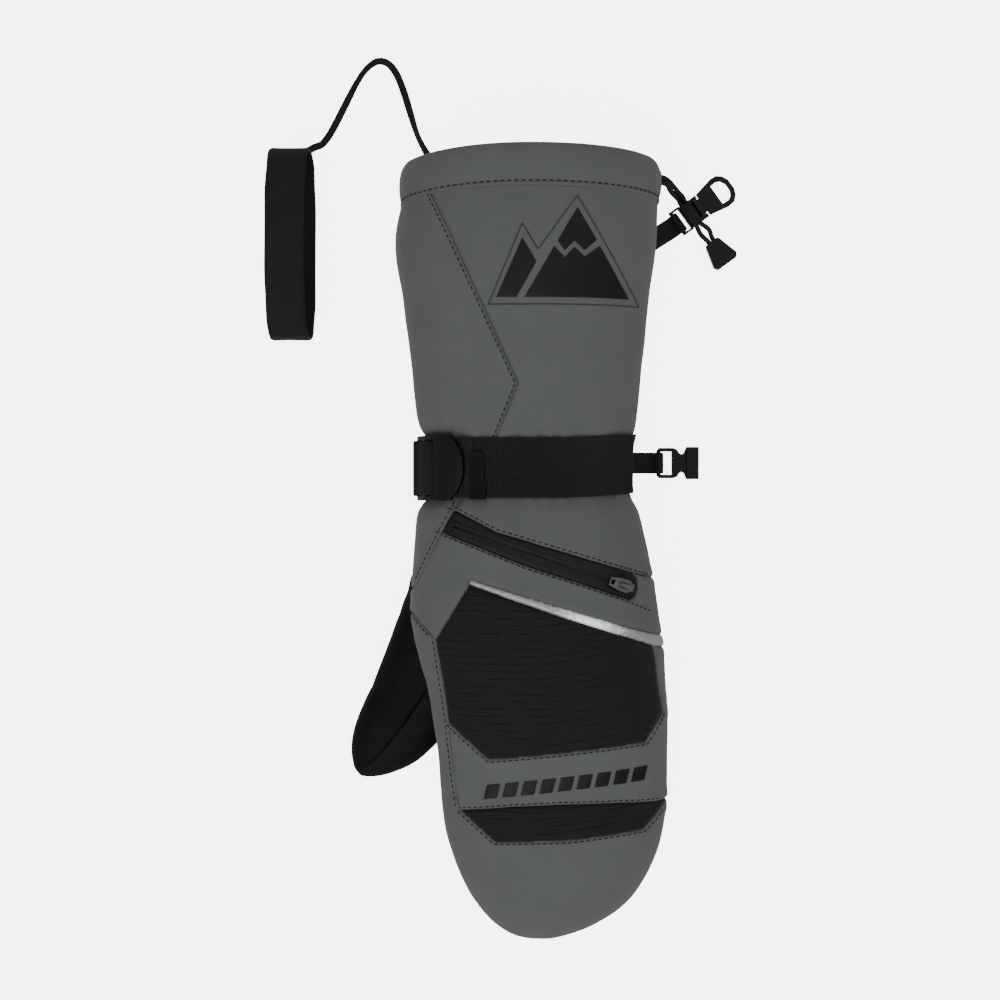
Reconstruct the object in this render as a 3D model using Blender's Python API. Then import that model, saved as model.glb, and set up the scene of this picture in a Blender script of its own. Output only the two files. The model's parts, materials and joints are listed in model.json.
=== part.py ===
"""A left-hand insulated ski mitten with a long gauntlet, lying on its palm.

+Z is out of the back of the hand, +Y runs from the fingertips to the cuff and the thumb
is on the -X side. The origin is on the flat palm patch that the mitten lies on. Lengths
in this file are millimetres; MM turns them into Blender's metres where a mesh is made.
"""
import math

import bmesh
import bpy
from mathutils import Matrix, Vector
from mathutils.bvhtree import BVHTree

MM = 0.001

# ---- driving dimensions -------------------------------------------------------------
CUFF_END = 182.0          # y of the cuff's rim
HEM_SEAM = 164.0          # y where the hem band is sewn to the gauntlet
TIP_START = -120.0        # y where the fingertip begins to round off
TIP_LENGTH = 73.0         # from there to the end of the fingertip
TOP_POWER = 2.4           # superellipse power of a section above its widest level
BOTTOM_POWER = 3.0        # and below it, where the mitten flattens on its palm
PALM_SAG = 1.5            # how far below the floor an unflattened section would reach
SHELL = 1.2               # outer fabric
SEAM = 0.4                # gap between two panels
SIDE_SEAM = 15.0          # height of the seam between the back and the palm
INSERT = (1.6, 2.6)       # depths of the pocket bag and the knuckle foam
INSULATION = (3.2, 7.4)
MEMBRANE = (7.9, 8.3)
LINING = (8.8, 10.0)
BELT = (20.0, 48.0)       # the wrist strap lies between these y values
STRAP_GAP = 0.6
WEBBING = 1.4             # thickness of the wide webbing
CORD = 2.2                # diameter of the elastic drawcord
CORD_PITCH = 1.2          # half the distance between its two strands, side by side

# y, left edge, right edge, top, widest level, floor
BODY = (
    (182, -66.8, 53.9, 78.0, 38.0, 0.6),
    (164, -67.0, 54.0, 77.5, 38.0, 0.6),
    (143, -70.4, 53.6, 79.0, 38.0, 1.0),
    (113, -66.8, 49.8, 75.0, 36.5, 1.6),
    (90, -63.9, 47.7, 71.0, 35.0, 1.8),
    (67, -61.4, 45.6, 66.0, 33.5, 2.6),
    (54, -59.2, 43.8, 62.5, 32.0, 3.6),
    (47, -55.0, 41.4, 59.0, 31.5, 4.6),
    (34, -53.2, 40.8, 57.5, 31.5, 4.6),
    (21, -55.0, 41.4, 58.6, 31.0, 4.6),
    (14, -59.4, 45.0, 62.0, 31.0, 3.2),
    (4, -61.0, 48.0, 63.8, 30.5, 2.2),
    (-18, -62.7, 52.4, 66.0, 30.0, 1.6),
    (-34, -63.4, 54.8, 66.5, 29.5, 1.6),
    (-51, -61.0, 57.6, 66.0, 29.0, 1.6),
    (-74, -55.2, 59.1, 64.0, 28.0, 1.6),
    (-97, -51.3, 59.6, 60.0, 27.0, 1.6),
    (-120, -48.9, 59.5, 54.5, 26.0, 1.6),
)
SHELL_RINGS = (164, 154, 143, 131, 119, 107, 95, 83, 71, 61, 54, 49, 45, 34, 23, 19, 14,
               6, -5, -18, -32, -46, -60, -74, -88, -104, -120)
INNER_RINGS = (161, 143, 113, 84, 61, 49, 34, 19, 6, -18, -46, -74, -100, -120)

# Seams, as outlines seen from above
DIAGONAL = ((-56.6, 169.0), (-12.4, 72.8), (-22.1, 49.1), (-39.3, 20.4), (-48.2, 4.1),
            (-60.9, -21.6), (-74.0, -31.0))
POCKET_TOP = ((-44.2, 15.6), (-22.5, 4.2), (-0.9, -2.2), (19.5, -8.3), (39.4, -14.3),
              (70.0, -22.5))
POCKET_BOTTOM = ((-48.6, 4.2), (-29.0, -3.6), (-9.2, -11.4), (15.7, -19.3), (39.8, -27.5),
                 (44.4, -24.5), (45.2, -20.0), (43.2, -15.0))
STRIP_TOP = ((-35.6, -21.6), (-34.8, -17.6), (3.2, -29.3), (27.8, -36.9), (53.3, -44.2),
             (72.0, -49.5))
STRIP_BOTTOM = ((-35.3, -20.0), (4.1, -33.9), (43.1, -46.2), (51.0, -49.2), (72.0, -55.0))
KNUCKLE = ((51.0, -49.2), (52.1, -51.9), (56.9, -81.3), (47.7, -94.3), (-25.8, -102.1),
           (-45.1, -85.7), (-51.0, -46.3), (-35.5, -21.2))
THUMB_SIDE = ((-74.0, -33.0), (-62.0, -35.0), (-51.0, -46.3))
FINGER_SIDE = ((-45.1, -85.7), (-42.5, -113.0), (-40.0, -127.3))
PATCH_TOP = ((-40.4, -127.3), (-15.0, -124.4), (8.2, -123.2), (35.0, -122.8), (72.0, -124.0))
PATCH_BOTTOM = ((-40.0, -127.0), (-23.0, -141.2), (12.0, -139.9), (47.1, -136.0), (62.0, -121.5))
# A point on each panel of the back; palm and gauntlet underside follow at the floor
BACK_PANELS = {
    "side_panel": (-45, 110), "back_panel": (10, 100), "zip_tape_upper": (0, -5),
    "zip_tape_lower": (0, -13), "middle_panel": (-10, -19), "reflective_strip": (0, -30),
    "knuckle_panel": (0, -70), "finger_band": (10, -108), "finger_patch": (10, -131),
    "fingertip_panel": (5, -160),
}

# Zip: its centre line is straight from above and a circle's arc from the side
ZIP_START = Vector((-43.5, 7.2))
ZIP_END = Vector((42.0, -22.4))
ZIP_REST = 85.0           # the slider's middle, measured from ZIP_START
ZIP_LIFT = 0.3
PULLER_PIVOT = (0.95, 3.5)  # along the zip and above its arc
COIL_PITCH = 1.25         # each coil's centre is this far from the centre line
COIL_RADIUS = 0.6

# Thumb: n runs from the hand to the thumb's tip, m runs across it to the left
THUMB_ORIGIN = Vector((-57.0, -59.0))
THUMB_AXIS = Vector((-0.52, -0.8542))
THUMB = (  # n, left m, right m, top, widest level
    (-34, 27.5, -30.0, 37.0, 19.0),
    (-20, 24.2, -30.0, 37.0, 19.0),
    (-6, 21.2, -29.5, 36.5, 19.0),
    (8, 18.4, -28.4, 35.5, 18.5),
    (24, 15.4, -25.6, 34.0, 18.0),
)
THUMB_OPENING = (  # n, left m, right m of the hole through the hand's side
    (-44, 6.0, -16.0),
    (-16, 12.0, -20.0),
    (-4, 12.0, -19.0),
    (8, 9.5, -12.0),
    (20, 6.5, -4.0),
)
THUMB_TIP = 39.7
THUMB_GAP = 1.0           # between the thumb and the hand's shell
THUMB_FLOOR = 2.2
THUMB_HINGE = Vector((-60.0, -18.0, 19.0))

# Wrist buckle, laid out along the arc that it bends on
BUCKLE_X = (-59.0, -50.0, -36.0)
BUCKLE_RISE = (5.9, 6.0, 6.8)
BUCKLE_HALF = 15.3
BUCKLE_THICK = 2.4

# Clip on the outer side of the wrist
CLIP_BAR = Vector((57.5, 37.2, 3.3))
CLIP_TAB = 10.6           # width of its webbing

# Cord lock: u points along the release lever, v along the drawcord
LOCK = Vector((73.4, 160.0))
LOCK_TURN = math.radians(36.0)
LOCK_BORE = 4.2           # height of the drawcord in the lock
LEVER_PIN = (4.9, 5.0)    # u and z
EYELET = (171.0, 38.0)    # y and z
CORD_END = Vector((83.6, 146.5, 3.1))
CORD_END_TURN = math.radians(-54.0)

# Leash: a flat strap from inside the cuff to a wrist loop
LEASH_WIDTH = 3.6
LEASH = ((-49.5, 172.0, 16.2), (-51.5, 178.0, 16.4), (-54.2, 184.0, 15.2), (-57.4, 190.0, 11.2),
         (-60.3, 196.0, 6.6), (-62.7, 202.5, 3.2), (-65.4, 211.5, 1.9), (-68.2, 220.5, 1.9),
         (-71.6, 229.0, 1.9), (-76.0, 234.6, 1.9), (-81.5, 235.6, 1.9), (-86.8, 231.8, 1.9),
         (-91.2, 225.5, 1.9), (-95.6, 217.2, 1.9), (-100.2, 208.0, 2.1), (-104.4, 199.8, 3.2),
         (-108.0, 194.2, 6.0), (-111.6, 191.6, 10.4))
LOOP_CENTRE = (-122.3, 143.0, 19.2)
LOOP_SIZE = (46.5, 19.0)  # half length and half height
LOOP_WIDTH = 18.8
LOOP_THICK = 1.4
LOOP_LEAN = -2.4          # how far the loop's top stands to the left of its bottom

COLOURS = {  # linear colour, roughness, metallic
    "softshell": ((0.090, 0.094, 0.097), 0.85, 0.0),
    "black_fabric": ((0.012, 0.013, 0.014), 0.8, 0.0),
    "palm_leather": ((0.009, 0.009, 0.010), 0.6, 0.0),
    "webbing": ((0.016, 0.016, 0.018), 0.75, 0.0),
    "plastic": ((0.008, 0.008, 0.009), 0.4, 0.0),
    "reflective": ((0.50, 0.51, 0.53), 0.3, 0.6),
    "zip_metal": ((0.23, 0.24, 0.25), 0.4, 0.9),
    "fill": ((0.75, 0.75, 0.72), 0.95, 0.0),
    "film": ((0.45, 0.50, 0.55), 0.5, 0.0),
    "fleece": ((0.03, 0.03, 0.033), 0.95, 0.0),
    "elastic": ((0.013, 0.013, 0.014), 0.7, 0.0),
}


# ---- Blender helpers ----------------------------------------------------------------
def clear_scene():
    for obj in list(bpy.data.objects):
        bpy.data.objects.remove(obj)


def collection(name):
    made = bpy.data.collections.new(name)
    bpy.context.scene.collection.children.link(made)
    return made


def material(name):
    if name in bpy.data.materials:
        return bpy.data.materials[name]
    colour, roughness, metallic = COLOURS[name]
    made = bpy.data.materials.new(name)
    made.use_nodes = True
    shader = made.node_tree.nodes["Principled BSDF"]
    shader.inputs["Base Color"].default_value = (*colour, 1.0)
    shader.inputs["Roughness"].default_value = roughness
    shader.inputs["Metallic"].default_value = metallic
    return made


def link(name, mesh, finish, smooth=35):
    """Add a mesh whose points are in metres to the mitten as a part."""
    mesh.materials.clear()
    mesh.materials.append(material(finish))
    mesh.shade_smooth()
    mesh.set_sharp_from_angle(angle=math.radians(smooth))
    obj = bpy.data.objects.new(name, mesh)
    PARTS.objects.link(obj)
    return obj


def part(name, bm, finish, matrix=None):
    """Turn a bmesh in millimetres into a part."""
    if matrix is not None:
        bm.transform(matrix)
    bmesh.ops.recalc_face_normals(bm, faces=bm.faces)
    if bm.calc_volume(signed=True) < 0:
        bmesh.ops.reverse_faces(bm, faces=bm.faces)
    bm.transform(Matrix.Scale(MM, 4))
    mesh = bpy.data.meshes.new(name)
    bm.to_mesh(mesh)
    bm.free()
    return link(name, mesh, finish)


def cutter(name, bm, matrix=None):
    """Turn a bmesh in millimetres into a hidden Boolean cutter."""
    obj = part(name, bm, "plastic", matrix)
    PARTS.objects.unlink(obj)
    CUTTERS.objects.link(obj)
    obj.hide_render = True
    obj.display_type = "WIRE"
    return obj


def boolean(obj, other, operation="DIFFERENCE"):
    """Apply a Boolean and keep the result as the object's mesh."""
    modifier = obj.modifiers.new(operation.lower(), "BOOLEAN")
    modifier.object = other
    modifier.operation = operation
    modifier.solver = "EXACT"
    depsgraph = bpy.context.evaluated_depsgraph_get()
    mesh = bpy.data.meshes.new_from_object(obj.evaluated_get(depsgraph))
    obj.modifiers.clear()
    old, obj.data = obj.data, mesh
    bpy.data.meshes.remove(old)


def join(name, first, *others):
    """Union solids into one part."""
    for other in others:
        boolean(first, other, "UNION")
        bpy.data.objects.remove(other)
    first.name = name
    return first


def settle(obj, place):
    """Move a finished part's mesh by a matrix in millimetres."""
    obj.data.transform(Matrix.Scale(MM, 4) @ place @ Matrix.Scale(1 / MM, 4))
    return obj


def hinge_origin(obj, point):
    """Put an object's origin at a point of its joint's axis, and leave its shape in place."""
    place = Vector(point) * MM
    obj.data.transform(Matrix.Translation(-place))
    obj.location = place
    return obj


def islands(obj):
    """Split an object's mesh into its loose bodies, each a bmesh in metres."""
    source = bmesh.new()
    source.from_mesh(obj.data)
    left, found = set(source.faces), []
    while left:
        body, edge_of_search = set(), [next(iter(left))]
        while edge_of_search:
            face = edge_of_search.pop()
            if face not in left:
                continue
            left.discard(face)
            body.add(face)
            edge_of_search += [f for e in face.edges for f in e.link_faces if f in left]
        piece = bmesh.new()
        copies = {}
        for face in body:
            for vert in face.verts:
                if vert not in copies:
                    copies[vert] = piece.verts.new(vert.co)
            piece.faces.new([copies[v] for v in face.verts])
        found.append(piece)
    source.free()
    return found


# ---- solids, all in millimetres -------------------------------------------------------
def strip_of_quads(bm, row_a, row_b, closed):
    count = len(row_a)
    for i in range(count if closed else count - 1):
        j = (i + 1) % count
        bm.faces.new((row_a[i], row_a[j], row_b[j], row_b[i]))


def add_rows(bm, rows):
    return [[bm.verts.new(point) for point in row] for row in rows]


def tube_of(outer, inner, closed_end):
    """A sleeve between two stacks of closed rings; closed_end gives both its end points."""
    bm = bmesh.new()
    out, inn = add_rows(bm, outer), add_rows(bm, inner)
    for rows in (out, inn):
        for a, b in zip(rows, rows[1:]):
            strip_of_quads(bm, a, b, True)
    strip_of_quads(bm, out[0], inn[0], True)
    for rows, end in zip((out, inn), closed_end):
        pole = bm.verts.new(end)
        last = rows[-1]
        for i in range(len(last)):
            bm.faces.new((last[i], last[(i + 1) % len(last)], pole))
    return bm


def loft(rings, end_point=None):
    """A solid through closed rings, with a flat start and a pointed or flat end."""
    bm = bmesh.new()
    rows = add_rows(bm, rings)
    for a, b in zip(rows, rows[1:]):
        strip_of_quads(bm, a, b, True)
    bm.faces.new(rows[0])
    if end_point is None:
        bm.faces.new(rows[-1])
    else:
        pole = bm.verts.new(end_point)
        for i in range(len(rows[-1])):
            bm.faces.new((rows[-1][i], rows[-1][(i + 1) % len(rows[-1])], pole))
    return bm


def hoop(profiles):
    """A closed ring swept through copies of one closed profile."""
    bm = bmesh.new()
    rows = add_rows(bm, profiles)
    for a, b in zip(rows, rows[1:] + rows[:1]):
        strip_of_quads(bm, a, b, True)
    return bm


def slab(top, bottom):
    """A closed sheet between two grids of points."""
    bm = bmesh.new()
    upper, lower = add_rows(bm, top), add_rows(bm, bottom)
    for rows in (upper, lower):
        for a, b in zip(rows, rows[1:]):
            strip_of_quads(bm, a, b, False)
    for a, b in ((upper[0], lower[0]), (upper[-1], lower[-1])):
        strip_of_quads(bm, a, b, False)
    for end in (0, -1):
        strip_of_quads(bm, [r[end] for r in upper], [r[end] for r in lower], False)
    return bm


def raised(base, rise):
    """A straight-sided solid: a flat outline of points, extruded by a vector."""
    bm = bmesh.new()
    face = bm.faces.new([bm.verts.new(point) for point in base])
    moved = bmesh.ops.extrude_face_region(bm, geom=[face])["geom"]
    bmesh.ops.translate(bm, vec=rise, verts=[v for v in moved if isinstance(v, bmesh.types.BMVert)])
    return bm


def prism(outline, z0, z1):
    """A solid over an outline of (x, y) points."""
    return raised([Vector((x, y, z0)) for x, y in outline], Vector((0, 0, z1 - z0)))


def extrusion(outline, y0, y1):
    """A solid along y over an outline of (x, z) points."""
    return raised([Vector((x, y0, z)) for x, z in outline], Vector((0, y1 - y0, 0)))


def box(x0, x1, y0, y1, z0, z1):
    bm = bmesh.new()
    bmesh.ops.create_cube(bm, size=1.0)
    bm.transform(Matrix.Diagonal((x1 - x0, y1 - y0, z1 - z0, 1.0)))
    bm.transform(Matrix.Translation(((x0 + x1) / 2, (y0 + y1) / 2, (z0 + z1) / 2)))
    return bm


def rod(radius, start, end, sides=16):
    """A round bar between two points."""
    start, end = Vector(start), Vector(end)
    turn = (end - start).to_track_quat("Z", "Y").to_matrix().to_4x4()
    bm = bmesh.new()
    bmesh.ops.create_cone(bm, cap_ends=True, segments=sides, radius1=radius, radius2=radius,
                          depth=(end - start).length)
    bm.transform(Matrix.Translation((start + end) / 2) @ turn)
    return bm


def wall(points, z0, z1, width=SEAM, closed=False):
    """An upright sheet along a line of (x, y) points, mitred at its corners."""
    line = [Vector(p) for p in points]
    rings = []
    for i, here in enumerate(line):
        before = here - line[i - 1] if i or closed else line[1] - here
        after = line[(i + 1) % len(line)] - here if i + 1 < len(line) or closed else before
        normal_a = Vector((-before.y, before.x)).normalized()
        normal_b = Vector((-after.y, after.x)).normalized()
        mitre = (normal_a + normal_b).normalized()
        mitre *= width / 2 / max(0.4, mitre.dot(normal_a))
        a, b = here + mitre, here - mitre
        rings.append([(a.x, a.y, z0), (b.x, b.y, z0), (b.x, b.y, z1), (a.x, a.y, z1)])
    return hoop(rings) if closed else loft(rings)


def smooth_line(points, per_span):
    """Points on a Catmull-Rom curve through the given ones."""
    pts = [Vector(p) for p in points]
    ends = [2 * pts[0] - pts[1]] + pts + [2 * pts[-1] - pts[-2]]
    line = []
    for p0, p1, p2, p3 in zip(ends, ends[1:], ends[2:], ends[3:]):
        for k in range(per_span):
            t = k / per_span
            line.append(0.5 * (2 * p1 + (p2 - p0) * t + (2 * p0 - 5 * p1 + 4 * p2 - p3) * t ** 2
                               + (3 * p1 - 3 * p2 + p3 - p0) * t ** 3))
    return line + [pts[-1]]


def tube(name, points, radius, finish, sides_step=2):
    """A round cord along points, as a curve with filled caps."""
    curve = bpy.data.curves.new(name, "CURVE")
    curve.dimensions = "3D"
    curve.bevel_depth = radius * MM
    curve.bevel_resolution = sides_step
    curve.use_fill_caps = True
    spline = curve.splines.new("POLY")
    spline.points.add(len(points) - 1)
    for point, place in zip(spline.points, points):
        point.co = (*(Vector(place) * MM), 1.0)
    curve.materials.append(material(finish))
    obj = bpy.data.objects.new(name, curve)
    PARTS.objects.link(obj)
    return obj


# ---- the mitten's surface ---------------------------------------------------------------
def between(table, at, column):
    """Smooth interpolation in one column of a table that is sorted by its first column."""
    rows = sorted(table)
    at = min(max(at, rows[0][0]), rows[-1][0])
    i = max(j for j in range(len(rows) - 1) if rows[j][0] <= at)

    def slope(j):
        low, high = rows[max(j - 1, 0)], rows[min(j + 1, len(rows) - 1)]
        here = rows[j]
        steps = [(b[column] - a[column]) / (b[0] - a[0]) for a, b in ((low, here), (here, high))
                 if b[0] != a[0]]
        return sum(steps) / len(steps)

    span = rows[i + 1][0] - rows[i][0]
    t = (at - rows[i][0]) / span
    return ((2 * t ** 3 - 3 * t ** 2 + 1) * rows[i][column]
            + (t ** 3 - 2 * t ** 2 + t) * span * slope(i)
            + (3 * t ** 2 - 2 * t ** 3) * rows[i + 1][column]
            + (t ** 3 - t ** 2) * span * slope(i + 1))


def power(angle):
    """A unit superellipse's point at an angle, squarer below than above."""
    c, s = math.cos(angle), math.sin(angle)
    n = TOP_POWER if s >= 0 else BOTTOM_POWER
    return math.copysign(abs(c) ** (2 / n), c), math.copysign(abs(s) ** (2 / n), s)


def skin(y, angle, depth=0.0):
    """A point on the mitten at a depth below its surface, by y and the angle round its axis."""
    left, right, top, side, floor = (between(BODY, y, k) for k in range(1, 6))
    centre, half, up, down = (left + right) / 2, (right - left) / 2, top - side, side + PALM_SAG
    into = min(1.0, max(0.0, (TIP_START - y) / TIP_LENGTH))
    close = math.sqrt(1 - into ** 2)
    centre -= 7.8 * into ** 6
    side -= 6.0 * into ** 3
    half = (half - depth) * close
    up = (up - depth) * close ** 0.8
    down = (down - depth) * close ** 0.55
    across, upward = power(angle)
    z = side + (up if upward > 0 else down) * upward
    return Vector((centre + half * across, y + depth * into, max(z, floor + depth)))


def top_of(x, y):
    """Height of the outer surface of the back over a point."""
    left, right, top, side = (between(BODY, y, k) for k in range(1, 5))
    share = min(1.0, abs(x - (left + right) / 2) / ((right - left) / 2))
    return side + (top - side) * (1 - share ** TOP_POWER) ** (1 / TOP_POWER)


def body_rings(rings, depth, around, tip_angles):
    stations = list(rings) + [TIP_START - TIP_LENGTH * math.sin(math.radians(a)) for a in tip_angles]
    return [[skin(y, 2 * math.pi * k / around, depth) for k in range(around)] for y in stations]


def body_end(depth):
    end = skin(TIP_START - TIP_LENGTH, 0.0, depth)
    return Vector((end.x, end.y, max(end.z, 3.0)))


def layer(rings, outer, inner, around, tip_angles):
    """A closed sleeve of the mitten between two depths, open at the cuff."""
    return tube_of(body_rings(rings, outer, around, tip_angles),
                   body_rings(rings, inner, around, tip_angles),
                   (body_end(outer), body_end(inner)))


def solid_body(depth, rings=SHELL_RINGS):
    """The whole mitten as one block, for trimming what meets it."""
    return loft(body_rings(rings, depth, 36, (18, 34, 48, 60, 70, 78, 85)), body_end(depth))


# ---- outer shell ------------------------------------------------------------------------
def shell_panels():
    """Cut the outer shell along its seams and name each panel."""
    whole = part("shell", layer(SHELL_RINGS, 0, SHELL, 36, (18, 34, 48, 60, 70, 78, 85)), "softshell")
    boolean(whole, THUMB_HOLE)
    low, high = SIDE_SEAM - SEAM / 2, 130.0
    boolean(whole, cutter("side_seam", box(-120, 120, -250, 250, SIDE_SEAM - SEAM, SIDE_SEAM)))
    boolean(whole, cutter("wrist_seam", box(-120, 120, 33.8, 33.8 + SEAM, -5, low)))
    for line in (DIAGONAL, POCKET_TOP, POCKET_BOTTOM, STRIP_TOP, STRIP_BOTTOM, THUMB_SIDE,
                 FINGER_SIDE, PATCH_TOP, PATCH_BOTTOM):
        boolean(whole, cutter("seam", wall(line, low, high)))
    boolean(whole, cutter("knuckle_seam", wall(KNUCKLE, low, high, SEAM, True)))
    zip_gap = [ZIP_START + ZIP_LINE * s for s in (-2.7, 93.2)]
    boolean(whole, cutter("zip_gap", wall(zip_gap, 40, high, 2 * COIL_PITCH + 1.7)))
    seeds = {name: Vector((x, y, top_of(x, y))) for name, (x, y) in BACK_PANELS.items()}
    seeds["gauntlet_underside"] = Vector((0, 100, 1.8))
    seeds["palm_panel"] = Vector((0, -60, 1.6))
    bodies = islands(whole)
    bpy.data.objects.remove(whole)
    finishes = {"knuckle_panel": "black_fabric", "finger_patch": "black_fabric",
                "palm_panel": "palm_leather", "zip_tape_upper": "black_fabric",
                "zip_tape_lower": "black_fabric", "reflective_strip": "reflective"}
    for name, seed in seeds.items():
        nearest = min(bodies, key=lambda b: BVHTree.FromBMesh(b).find_nearest(seed * MM)[3])
        bodies.remove(nearest)
        mesh = bpy.data.meshes.new(name)
        nearest.to_mesh(mesh)
        nearest.free()
        link(name, mesh, finishes.get(name, "softshell"))
    for scrap in bodies:
        scrap.free()


def palm_patch():
    """The flat reinforcement that the mitten rests on."""
    outline = [(-24, 12), (22, 12), (31, 2), (35, -22), (36, -70), (32, -104), (20, -124),
               (2, -130), (-14, -124), (-22, -106), (-26, -72), (-34, -46), (-33, -12)]
    return part("palm_patch", prism(outline, 0.0, 1.3), "palm_leather")


def hem_band():
    """The folded hem, hollow for the drawcord, with a hole for the eyelet."""
    around = 32
    outer = ((164.4, 0.0), (169.0, -0.5), (178.0, -0.5), (182.0, 1.6), (181.6, 4.4), (177.0, 6.6),
             (169.0, 6.6), (164.4, 3.6))
    hollow = ((167.4, 2.2), (170.4, 1.2), (175.6, 1.2), (178.4, 2.2), (178.4, 4.0), (175.6, 5.0),
              (170.4, 5.0), (167.4, 4.0))

    def swept(profile):
        rings = []
        for k in range(around):
            angle = 2 * math.pi * k / around
            rings.append([skin(y, angle, depth) for y, depth in profile])
        return hoop(rings)

    band = part("hem_band", swept(outer), "softshell")
    boolean(band, cutter("hem_hollow", swept(hollow)))
    y, z = EYELET
    boolean(band, cutter("hem_eyelet_hole", rod(3.7, (50.5, y, z), (70, y, z), 20)))
    return band


def eyelet():
    """A crimped eyelet: a flange outside the hem and a short barrel through it."""
    y, z = EYELET
    face = skin(y, 0.0, -0.6).x
    ring = part("eyelet", rod(4.3, (face + 0.3, y, z), (face + 1.1, y, z), 24), "zip_metal")
    barrel = part("barrel", rod(3.3, (face - 1.6, y, z), (face + 0.8, y, z), 24), "zip_metal")
    join("eyelet", ring, barrel)
    boolean(ring, cutter("eyelet_bore", rod(2.8, (face - 5, y, z), (face + 5, y, z), 24)))
    return ring


# ---- layers inside ------------------------------------------------------------------------
def inner_layers():
    angles = (26, 47, 64, 78)
    for name, (outer, inner), finish in (("insulation", INSULATION, "fill"),
                                         ("membrane", MEMBRANE, "film"),
                                         ("lining", LINING, "fleece")):
        sleeve = part(name, layer(INNER_RINGS, outer, inner, 20, angles), finish)
        boolean(sleeve, THUMB_HOLE)


def insert(name, outline, finish):
    """A thin piece between the shell and the insulation, over an outline seen from above."""
    rings = [y for y in SHELL_RINGS if -110 < y < 40]
    sheet = [[skin(y, math.radians(a), INSERT[0]) for a in range(20, 161, 7)] for y in rings]
    under = [[skin(y, math.radians(a), INSERT[1]) for a in range(20, 161, 7)] for y in rings]
    piece = part(name, slab(sheet, under), finish)
    boolean(piece, cutter(name + "_outline", prism(outline, 20, 130)), "INTERSECT")
    return piece


def pocket_bag():
    """The pocket under the zip, with a slot where the zip opens into it."""
    bag = insert("pocket_bag", ((-51, 17), (-24, 11), (0, 5), (22, -2), (40, -8), (49, -14),
                                (51, -28), (45, -46), (5, -36), (-36, -24), (-50, -3)), "fleece")
    slot = [ZIP_START + ZIP_LINE * s for s in (2.0, 90.0)]
    boolean(bag, cutter("pocket_slot", wall(slot, 20, 130, 8.4)))
    return bag


def knuckle_foam():
    return insert("knuckle_foam", ((-40, -45), (-34, -30), (44, -56), (50, -80), (43, -90),
                                   (-24, -97), (-40, -83)), "fill")


# ---- zip ------------------------------------------------------------------------------------
def circle_through(a, b, c):
    """Centre and radius of the circle through three (s, z) points."""
    d = 2 * (a[0] * (b[1] - c[1]) + b[0] * (c[1] - a[1]) + c[0] * (a[1] - b[1]))
    squares = [p[0] ** 2 + p[1] ** 2 for p in (a, b, c)]
    s = (squares[0] * (b[1] - c[1]) + squares[1] * (c[1] - a[1]) + squares[2] * (a[1] - b[1])) / d
    z = (squares[0] * (c[0] - b[0]) + squares[1] * (a[0] - c[0]) + squares[2] * (b[0] - a[0])) / d
    return s, z, math.hypot(a[0] - s, a[1] - z)


def zip_arc():
    """Centre s, centre z and radius of the arc that the slider follows."""
    points = []
    for s in (6.0, 45.2, 84.4):
        place = ZIP_START + ZIP_LINE * s
        points.append((s, top_of(place.x, place.y) - SHELL / 2 + ZIP_LIFT))
    return circle_through(*points)


def on_zip(s, across=0.0, rise=0.0):
    """A point on the zip's arc, by its distance along, across and above it."""
    centre, low, radius = ZIP_ARC
    angle = (s - centre) / radius
    place = ZIP_START + ZIP_LINE * (centre + (radius + rise) * math.sin(angle))
    place += Vector((-ZIP_LINE.y, ZIP_LINE.x)) * across
    return Vector((place.x, place.y, low + (radius + rise) * math.cos(angle)))


def zip_frame(s):
    """The axes of something that sits on the zip at s: along it, across it and out of it."""
    angle = (s - ZIP_ARC[0]) / ZIP_ARC[2]
    out = Vector((ZIP_LINE.x * math.sin(angle), ZIP_LINE.y * math.sin(angle), math.cos(angle)))
    side = Vector((-ZIP_LINE.y, ZIP_LINE.x, 0.0))
    matrix = Matrix((side.cross(out), side, out)).transposed().to_4x4()
    return Matrix.Translation(on_zip(s)) @ matrix


def zip_coils():
    for name, side in (("zip_coil_upper", 1), ("zip_coil_lower", -1)):
        points = [on_zip(1.0 + 87.8 * k / 22, side * COIL_PITCH) for k in range(23)]
        tube(name, points, COIL_RADIUS, "black_fabric")


def zip_stop():
    """The metal stop that closes the zip's end."""
    stop = part("zip_stop", box(89.3 - ZIP_REST, 90.7 - ZIP_REST, -1.8, 1.8, -0.7, 0.9), "zip_metal")
    return settle(stop, zip_frame(ZIP_REST))


def zip_slider():
    """A slider with a wing above and below the coils, a neck between them and a bail on top."""
    top = ((-3.4, -1.8), (-1.8, -3.0), (2.0, -3.1), (3.5, -2.3), (3.5, 2.3), (2.0, 3.1),
           (-1.8, 3.0), (-3.4, 1.8))
    slider = part("zip_slider", prism(top, 1.6, 2.4), "zip_metal")
    low = part("low", prism([(x * 0.9, y * 0.6) for x, y in top], -1.8, -0.95), "zip_metal")
    neck = part("neck", box(1.3, 2.9, -0.35, 0.35, -1.3, 1.9), "zip_metal")
    bail = part("bail", box(-2.4, 2.5, -0.8, 0.8, 2.1, 5.1), "zip_metal")
    join("zip_slider", slider, low, neck, bail)
    boolean(slider, cutter("bail_eye", box(-1.7, 1.8, -2, 2, 2.75, 4.3)))
    centre, low_z, radius = ZIP_ARC
    axis = ZIP_START + ZIP_LINE * centre
    return hinge_origin(settle(slider, zip_frame(ZIP_REST)), (axis.x, axis.y, low_z))


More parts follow.
